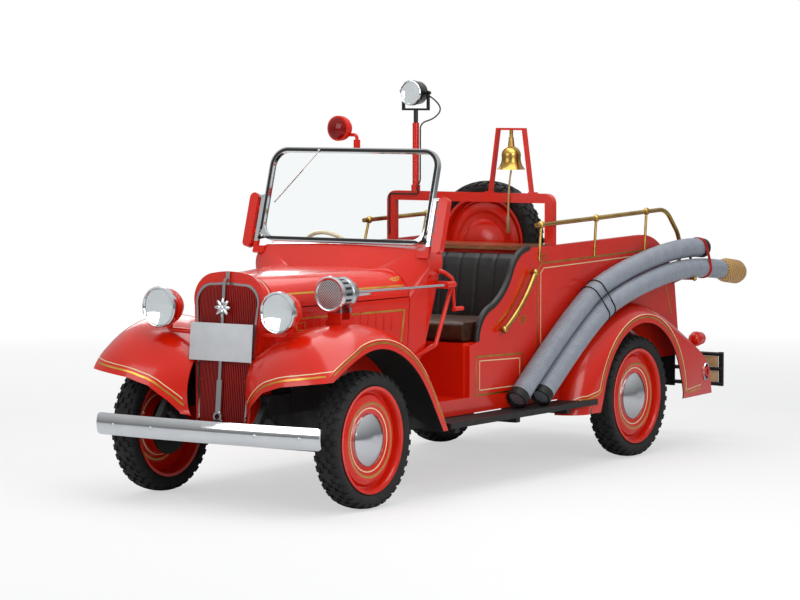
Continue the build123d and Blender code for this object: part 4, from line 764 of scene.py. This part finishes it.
scrollRows = (("body_sides", (bodyX, -0.147, 0.983)), ("body_sides", (bodyX, 0.094, 1.37)), ("hood_sides", (0.40, -2.113, 1.05)))
for flipSide, lid in ((1, "left"), (-1, "right")):
    scrolls = [scroll for node, place in scrollRows for scroll in scrollPair(node, place, 0.034, flipSide)]
    finishPiece(joinAll(scrolls), "goldScrolls_" + lid, goldLeaf)
    scrolls = scrollPair("hood_top_" + lid, (0.52, -1.345, 1.312), 0.026, flipSide)
    finishPiece(joinAll(scrolls), "goldScroll_hood_" + lid, goldLeaf, "hood_" + lid)
    bar = layRibbon("hood_top_" + lid, [(flipSide * 0.46, -1.69, 1.225), (flipSide * 0.50, -1.45, 1.225)], 0.014)
    finishPiece(bar, "hoodBar_" + lid, chrome, "hood_" + lid)
print("lining laid")

# windscreen: black rubber channel round the glass, on both faces of the frame
screen = {"y": -1.180, "z": 1.500, "rake": radians(16.4), "half": 0.634, "high": 0.605, "corner": 0.118, "inset": 0.0165}


def screenPoint(x, up, out):
    lean = screen["rake"]
    return (x, screen["y"] + up * sin(lean) - out * cos(lean), screen["z"] + up * cos(lean) + out * sin(lean))


def screenRoute(out):
    half, high, corner, inset = screen["half"], screen["high"], screen["corner"], screen["inset"]
    flat = [(half - inset, inset), (half - inset, high - corner)]
    for step in range(1, 9):
        turn = radians(90 * step / 8)
        flat.append((half - corner + (corner - inset) * cos(turn), high - corner + (corner - inset) * sin(turn)))
    flat += [(-x, up) for x, up in reversed(flat)] + [flat[0]]
    return [screenPoint(x, up, out) for x, up in flat]


rubbers = [layRibbon("windscreen_frame", screenRoute(out), 0.018) for out in (0.03, -0.03)]
finishPiece(joinAll(rubbers), "windscreenRubber", blackRubber)

# blank plate on the grille's centre bar and the plain rosette above it
grille = {"y": -2.405, "z": 0.470, "lean": radians(5.0), "plateUp": 0.497, "bossUp": 0.700}
grilleTurn = Matrix.Rotation(-grille["lean"], 4, "X")


def grillePoint(x, up, out):
    lean = grille["lean"]
    return Vector((x, grille["y"] + up * sin(lean) - out * cos(lean), grille["z"] + up * cos(lean) + out * sin(lean)))


plate = cutBlock(grillePoint(0.0, grille["plateUp"], 0.0535), (0.455, 0.004, 0.222), 0.0015, grilleTurn)
finishPiece(plate, "blankPlate", plateGrey)
rosette = {"petals": 8, "ring": 0.028, "petal": (0.011, 0.0045, 0.030, 1.0)}
bossRows = ((0.0, 0.0), (0.006, 0.0), (0.005, 0.012), (0.0, 0.018), (0.0, 0.0))
outOfGrille = grillePoint(0, 0, 1) - grillePoint(0, 0, 0)
boss = [spinShape(bossRows, grillePoint(0, grille["bossUp"], 0.057), outOfGrille, 24)]
for step in range(rosette["petals"]):
    turn = 2 * pi * step / rosette["petals"]
    bpy.ops.mesh.primitive_uv_sphere_add(segments=12, ring_count=8, radius=1.0)
    petal = bpy.context.object
    spot = grillePoint(rosette["ring"] * sin(turn), grille["bossUp"] + rosette["ring"] * cos(turn), 0.058)
    lie = grilleTurn @ Matrix.Rotation(turn, 4, "Y")
    petal.matrix_world = Matrix.Translation(spot) @ lie @ Matrix.Diagonal(rosette["petal"])
    pick(petal)
    bpy.ops.object.transform_apply(location=True, rotation=True, scale=True)
    boss.append(petal)
finishPiece(joinAll(boss), "grilleRosette", chrome)

# bumper: the bar rolled to a bowed section, with four dome bolts
bumper = {"z": 0.458, "half": 0.065, "roll": 0.015, "front": -2.615, "bow": 0.045, "reach": 0.815}
bar = bpy.data.objects.new("bowedBumper", nodes["front_bumper"].data.copy())
bpy.context.collection.objects.link(bar)
for step in range(-5, 6):
    editAll(bar)
    bpy.ops.mesh.bisect(plane_co=(0, 0, bumper["z"] + step * bumper["half"] / 6), plane_no=(0, 0, 1))
bpy.ops.object.mode_set(mode="OBJECT")
for spot in bar.data.vertices:
    spot.co.y += bumper["roll"] * ((spot.co.z - bumper["z"]) / bumper["half"]) ** 2
finishPiece(bar, "bowedBumper", chrome)
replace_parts(bar, "front_bumper")
boltRows = ((0.001, 0.0), (0.001, 0.011), (-0.002, 0.0095), (-0.0042, 0.005), (-0.0048, 0.0))
bolts = []
for x in (-0.68, -0.38, 0.38, 0.68):
    face = bumper["front"] + bumper["bow"] * (x / bumper["reach"]) ** 2
    bolts.append(spinShape(boltRows, (x, face, bumper["z"]), rearward, 20))
finishPiece(joinAll(bolts), "bumperBolts", chrome)

# wiper hung from the screen's top bar
wiperTop, wiperEnd = Vector(screenPoint(-0.27, 0.585, 0.016)), Vector(screenPoint(-0.545, 0.255, 0.014))


def wiperRod(name, rows, thick):
    # rows: share of the way from the pivot to the tip, offset to the rear
    rod = nurbsCurve(name, [wiperTop.lerp(wiperEnd, share) + Vector((0, back, 0)) for share, back in rows], thick)
    pick(rod)
    bpy.ops.object.convert(target="MESH")
    return bpy.data.objects[name]


hubRows = ((0.010, 0.0), (0.010, 0.011), (-0.008, 0.011), (-0.012, 0.006), (-0.013, 0.0))
arm = wiperRod("wiperArm", ((0.0, 0.0), (0.5, -0.004), (1.0, 0.0)), 0.004)
finishPiece(joinAll([arm, spinShape(hubRows, wiperTop, rearward, 20)]), "wiperArm", chrome)
finishPiece(wiperRod("wiperBlade", ((0.38, 0.004), (0.7, 0.003), (1.03, 0.003)), 0.0035), "wiperBlade", blackRubber)
print("front dressed")

# running-board ribs, tan boards in the rear guard, oval markers
ribPlaces = [(side * (0.705 + 0.026 * step), -0.39, 0.4404) for side in (1, -1) for step in range(6)]
ribs = [cutBlock(place, (0.010, 1.70, 0.0016), 0.0004) for place in ribPlaces]
finishPiece(joinAll(ribs), "runningBoardRibs", blackRubber)
boards = [cutBlock((side * 0.70, 2.315, z), (0.150, 0.008, 0.074), 0.001) for side in (1, -1) for z in (0.440, 0.544)]
finishPiece(joinAll(boards), "guardBoards", tanBoard)
marker = {"x": 0.8575, "y": 1.990, "z": 0.505, "tall": 1.7}
lensRows = ((0.012, 0.0), (0.009, 0.018), (0.0, 0.030), (-0.004, 0.030), (-0.004, 0.0))
rimRows = ((-0.004, 0.029), (0.003, 0.031), (0.004, 0.035), (-0.004, 0.037), (-0.004, 0.029))
stretch = Matrix.Diagonal((1.0, 1.0, marker["tall"], 1.0))
for rows, name, finish in ((lensRows, "markerLenses", redGlass), (rimRows, "markerBezels", chrome)):
    shapes = []
    for side in (1, -1):
        shape = spinShape(rows, (0, 0, 0), (side, 0, 0), 40)
        shape.matrix_world = Matrix.Translation((side * marker["x"], marker["y"], marker["z"])) @ stretch
        shapes.append(shape)
    finishPiece(joinAll(shapes), name, finish)
print("rear dressed")

# bench: stuffed hide, blown up by cloth pressure, then sewn into channels
bench = {"shrink": 0.010, "voxel": 0.012, "cap": 0.012, "pressure": 4.0, "frames": 20, "seam": 0.012}


def stuffPad(name, node, finish, seams, depth, facing):
    pad = bpy.data.objects.new(name, nodes[node].data.copy())
    bpy.context.collection.objects.link(pad)
    pick(pad)
    rough = pad.modifiers.new("remesh", "REMESH")
    rough.mode = "VOXEL"
    rough.voxel_size = bench["voxel"]
    bpy.ops.object.modifier_apply(modifier="remesh")
    editAll(pad)
    bpy.ops.transform.shrink_fatten(value=-bench["shrink"])
    bpy.ops.object.mode_set(mode="OBJECT")
    rest = [v.co.copy() for v in pad.data.vertices]
    stuffing = pad.modifiers.new("stuffing", "CLOTH")
    stuffing.settings.use_pressure = True
    stuffing.settings.uniform_pressure_force = bench["pressure"]
    stuffing.settings.effector_weights.gravity = 0.0
    stuffing.settings.quality = 3
    stuffing.point_cache.frame_end = bench["frames"]
    for frameNumber in range(1, bench["frames"] + 1):
        bpy.context.scene.frame_set(frameNumber)
    bpy.ops.object.modifier_apply(modifier="stuffing")
    bpy.context.scene.frame_set(1)
    for spot, start in zip(pad.data.vertices, rest):
        move = spot.co - start
        if move.length > bench["cap"]:
            spot.co = start + move.normalized() * bench["cap"]
    finer = pad.modifiers.new("finer", "SUBSURF")
    finer.levels = finer.render_levels = 1
    bpy.ops.object.modifier_apply(modifier="finer")
    facing = Vector(facing)
    tilts = [spot.normal.dot(facing) for spot in pad.data.vertices]
    for spot, tilt in zip(pad.data.vertices, tilts):
        if tilt > 0.35:
            gap = min(abs(spot.co.x - seam) for seam in seams)
            spot.co -= facing * depth * 2.718 ** (-(gap / bench["seam"]) ** 2)
    finishPiece(pad, name, finish, smooth=60.0)
    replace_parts(pad, node)


backSeams = [-0.585 + 0.13 * step for step in range(10)]
stuffPad("pleatedSeatBack", "seat_back", blackLeather, backSeams, 0.011, (0, -1, 0.15))
stuffPad("seatCushionPad", "seat_cushion", brownLeather, (-0.32, 0.0, 0.32), 0.006, (0, 0, 1))
print("bench stuffed")

# bell rope with its turned handle, and the lead that follows the searchlight
ropeRoute = ((0.315, 0.303, 1.9178), (0.315, 0.268, 1.833), (0.315, 0.268, 1.623))
ropeLength = routeLength(readRoute(ropeRoute))
rope = nurbsCurve("bellRope", ropeRoute, 0.006)
rope.data.materials.append(ropeHemp)
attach(rope, mainBody)
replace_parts(rope, "bell_rope")
handleRows = (
    (0.002, 0.0), (0.002, 0.008), (-0.008, 0.012), (-0.03, 0.0145),
    (-0.07, 0.013), (-0.10, 0.0148), (-0.111, 0.011), (-0.113, 0.0),
)
handle = finishPiece(spinShape(handleRows, (0.315, 0.268, 1.624), (0, 0, 1), 24), "bellHandle", handleWood)
leadRoute = (
    (-0.430, 0.3802, 2.423), (-0.420, 0.443, 2.413), (-0.340, 0.493, 2.323),
    (-0.360, 0.423, 2.251), (-0.3944, 0.305, 2.225), (-0.3944, 0.303, 2.185),
)
leadSpots = readRoute(leadRoute)
leadLength = routeLength(leadSpots)
lead = ringTube(leadSpots, [(leadLength * k / 60, 0.005) for k in range(61)], 12, Vector((0.6, 0.3, 0.2)))
lead.name = lead.data.name = "lampLeadLoop"
pick(lead)
bpy.ops.object.shade_smooth_by_angle(angle=radians(60))
lead.data.materials.append(blackRubber)
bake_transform(lead)
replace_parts(lead, "lamp_lead_loop")
print("cords hung")

# studio: camera, floor, light
cameraView = {"place": (10.932, -16.852, 2.466), "azimuth": 33.81, "elevation": 3.95, "lens": 139.25}
bpy.ops.object.camera_add(location=cameraView["place"])
camera = bpy.context.object
camera.name = "photoCamera"
camera.data.sensor_width = 36.0
camera.data.lens = cameraView["lens"]
camera.data.clip_end = 200.0
azimuth, elevation = radians(cameraView["azimuth"]), radians(cameraView["elevation"])
backward = Vector((sin(azimuth) * cos(elevation), -cos(azimuth) * cos(elevation), sin(elevation)))
camera.rotation_mode = "QUATERNION"
camera.rotation_quaternion = (-backward).to_track_quat("-Z", "Y")
bpy.context.scene.camera = camera

studio = {"floorSize": 120.0, "ambient": 0.34, "floorGlow": 0.55, "fadeFrom": 4.5, "fadeTo": 11.0}
scene = bpy.context.scene
scene.view_settings.view_transform = "Standard"
world = bpy.data.worlds.new("studioWorld")
world.use_nodes = True
scene.world = world
worldTree = world.node_tree
worldTree.nodes.clear()


def seenRays(tree):
    # what the camera sees, also through glass
    rays = addNode(tree, "ShaderNodeLightPath").outputs
    return mathStep(tree, "MAXIMUM", rays["Is Camera Ray"], rays["Is Transmission Ray"]), rays["Is Glossy Ray"]


seen, glossy = seenRays(worldTree)
dim = addNode(worldTree, "ShaderNodeBackground", {"Color": (0.92, 0.95, 1.0, 1.0), "Strength": studio["ambient"]})
white = addNode(worldTree, "ShaderNodeBackground", {"Color": (1.0, 1.0, 1.0, 1.0), "Strength": 1.0})
# bright metal sees the studio: white overhead, darker towards the horizon
sky = addNode(worldTree, "ShaderNodeTexCoord").outputs["Generated"]
fade = addNode(worldTree, "ShaderNodeMapRange", {1: -0.02, 2: 0.7, 3: 0.26, 4: 1.0}, {0: splitAxes(worldTree, sky)["Z"]})
studioWalls = addNode(worldTree, "ShaderNodeBackground", {"Color": (1.0, 1.0, 1.0, 1.0)}, {"Strength": fade.outputs[0]})
shiny = addNode(worldTree, "ShaderNodeMixShader", None, {0: glossy, 1: dim.outputs[0], 2: studioWalls.outputs[0]})
mixWorld = addNode(worldTree, "ShaderNodeMixShader", None, {0: seen, 1: shiny.outputs[0], 2: white.outputs[0]})
addNode(worldTree, "ShaderNodeOutputWorld", None, {"Surface": mixWorld.outputs[0]})

bpy.ops.mesh.primitive_plane_add(size=studio["floorSize"], location=(0, 0, -0.001))
floor = bpy.context.object
floor.name = "studioFloor"
floorPaint = bpy.data.materials.new("paleStudioFloor")
floorPaint.use_nodes = True
floorTree = floorPaint.node_tree
floorTree.nodes.clear()
seen, glossy = seenRays(floorTree)
# the floor turns pure white away from the vehicle, so no horizon shows
spot = addNode(floorTree, "ShaderNodeTexCoord").outputs["Object"]
reach = addNode(floorTree, "ShaderNodeVectorMath", {"operation": "LENGTH"}, {0: spot}).outputs["Value"]
fadeRange = {1: studio["fadeFrom"], 2: studio["fadeTo"], 3: studio["floorGlow"], 4: 1.0}
far = addNode(floorTree, "ShaderNodeMapRange", fadeRange, {0: reach}).outputs[0]
part = mathStep(floorTree, "MULTIPLY", seen, far)
matt = addNode(floorTree, "ShaderNodeBsdfDiffuse", {"Color": (0.86, 0.86, 0.86, 1.0)})
glow = addNode(floorTree, "ShaderNodeEmission", {"Color": (1.0, 1.0, 1.0, 1.0), "Strength": 1.0})
mixFloor = addNode(floorTree, "ShaderNodeMixShader", None, {0: part, 1: matt.outputs[0], 2: glow.outputs[0]})
addNode(floorTree, "ShaderNodeOutputMaterial", None, {"Surface": mixFloor.outputs[0]})
floor.data.materials.append(floorPaint)

lampRows = (
    # name, place, aim, width, height, watts
    ("topSoftbox", (0.6, -0.6, 6.5), (0.0, -0.2, 0.5), 5.0, 8.0, 330.0),
    ("leftSoftbox", (7.5, -4.5, 4.2), (0.0, -0.2, 0.9), 4.0, 5.0, 250.0),
    ("frontSoftbox", (-2.5, -9.5, 4.0), (0.0, -1.5, 0.9), 5.0, 4.0, 190.0),
    ("rearSoftbox", (-6.5, 5.0, 5.0), (0.0, 0.5, 1.0), 4.0, 4.0, 150.0),
)
for name, place, aim, width, height, watts in lampRows:
    bpy.ops.object.light_add(type="AREA", location=place)
    lamp = bpy.context.object
    lamp.name = name
    lamp.data.shape = "RECTANGLE"
    lamp.data.size, lamp.data.size_y = width, height
    lamp.data.energy = watts
    lamp.rotation_mode = "QUATERNION"
    lamp.rotation_quaternion = (Vector(aim) - Vector(place)).to_track_quat("-Z", "Y")
print("studio ready")
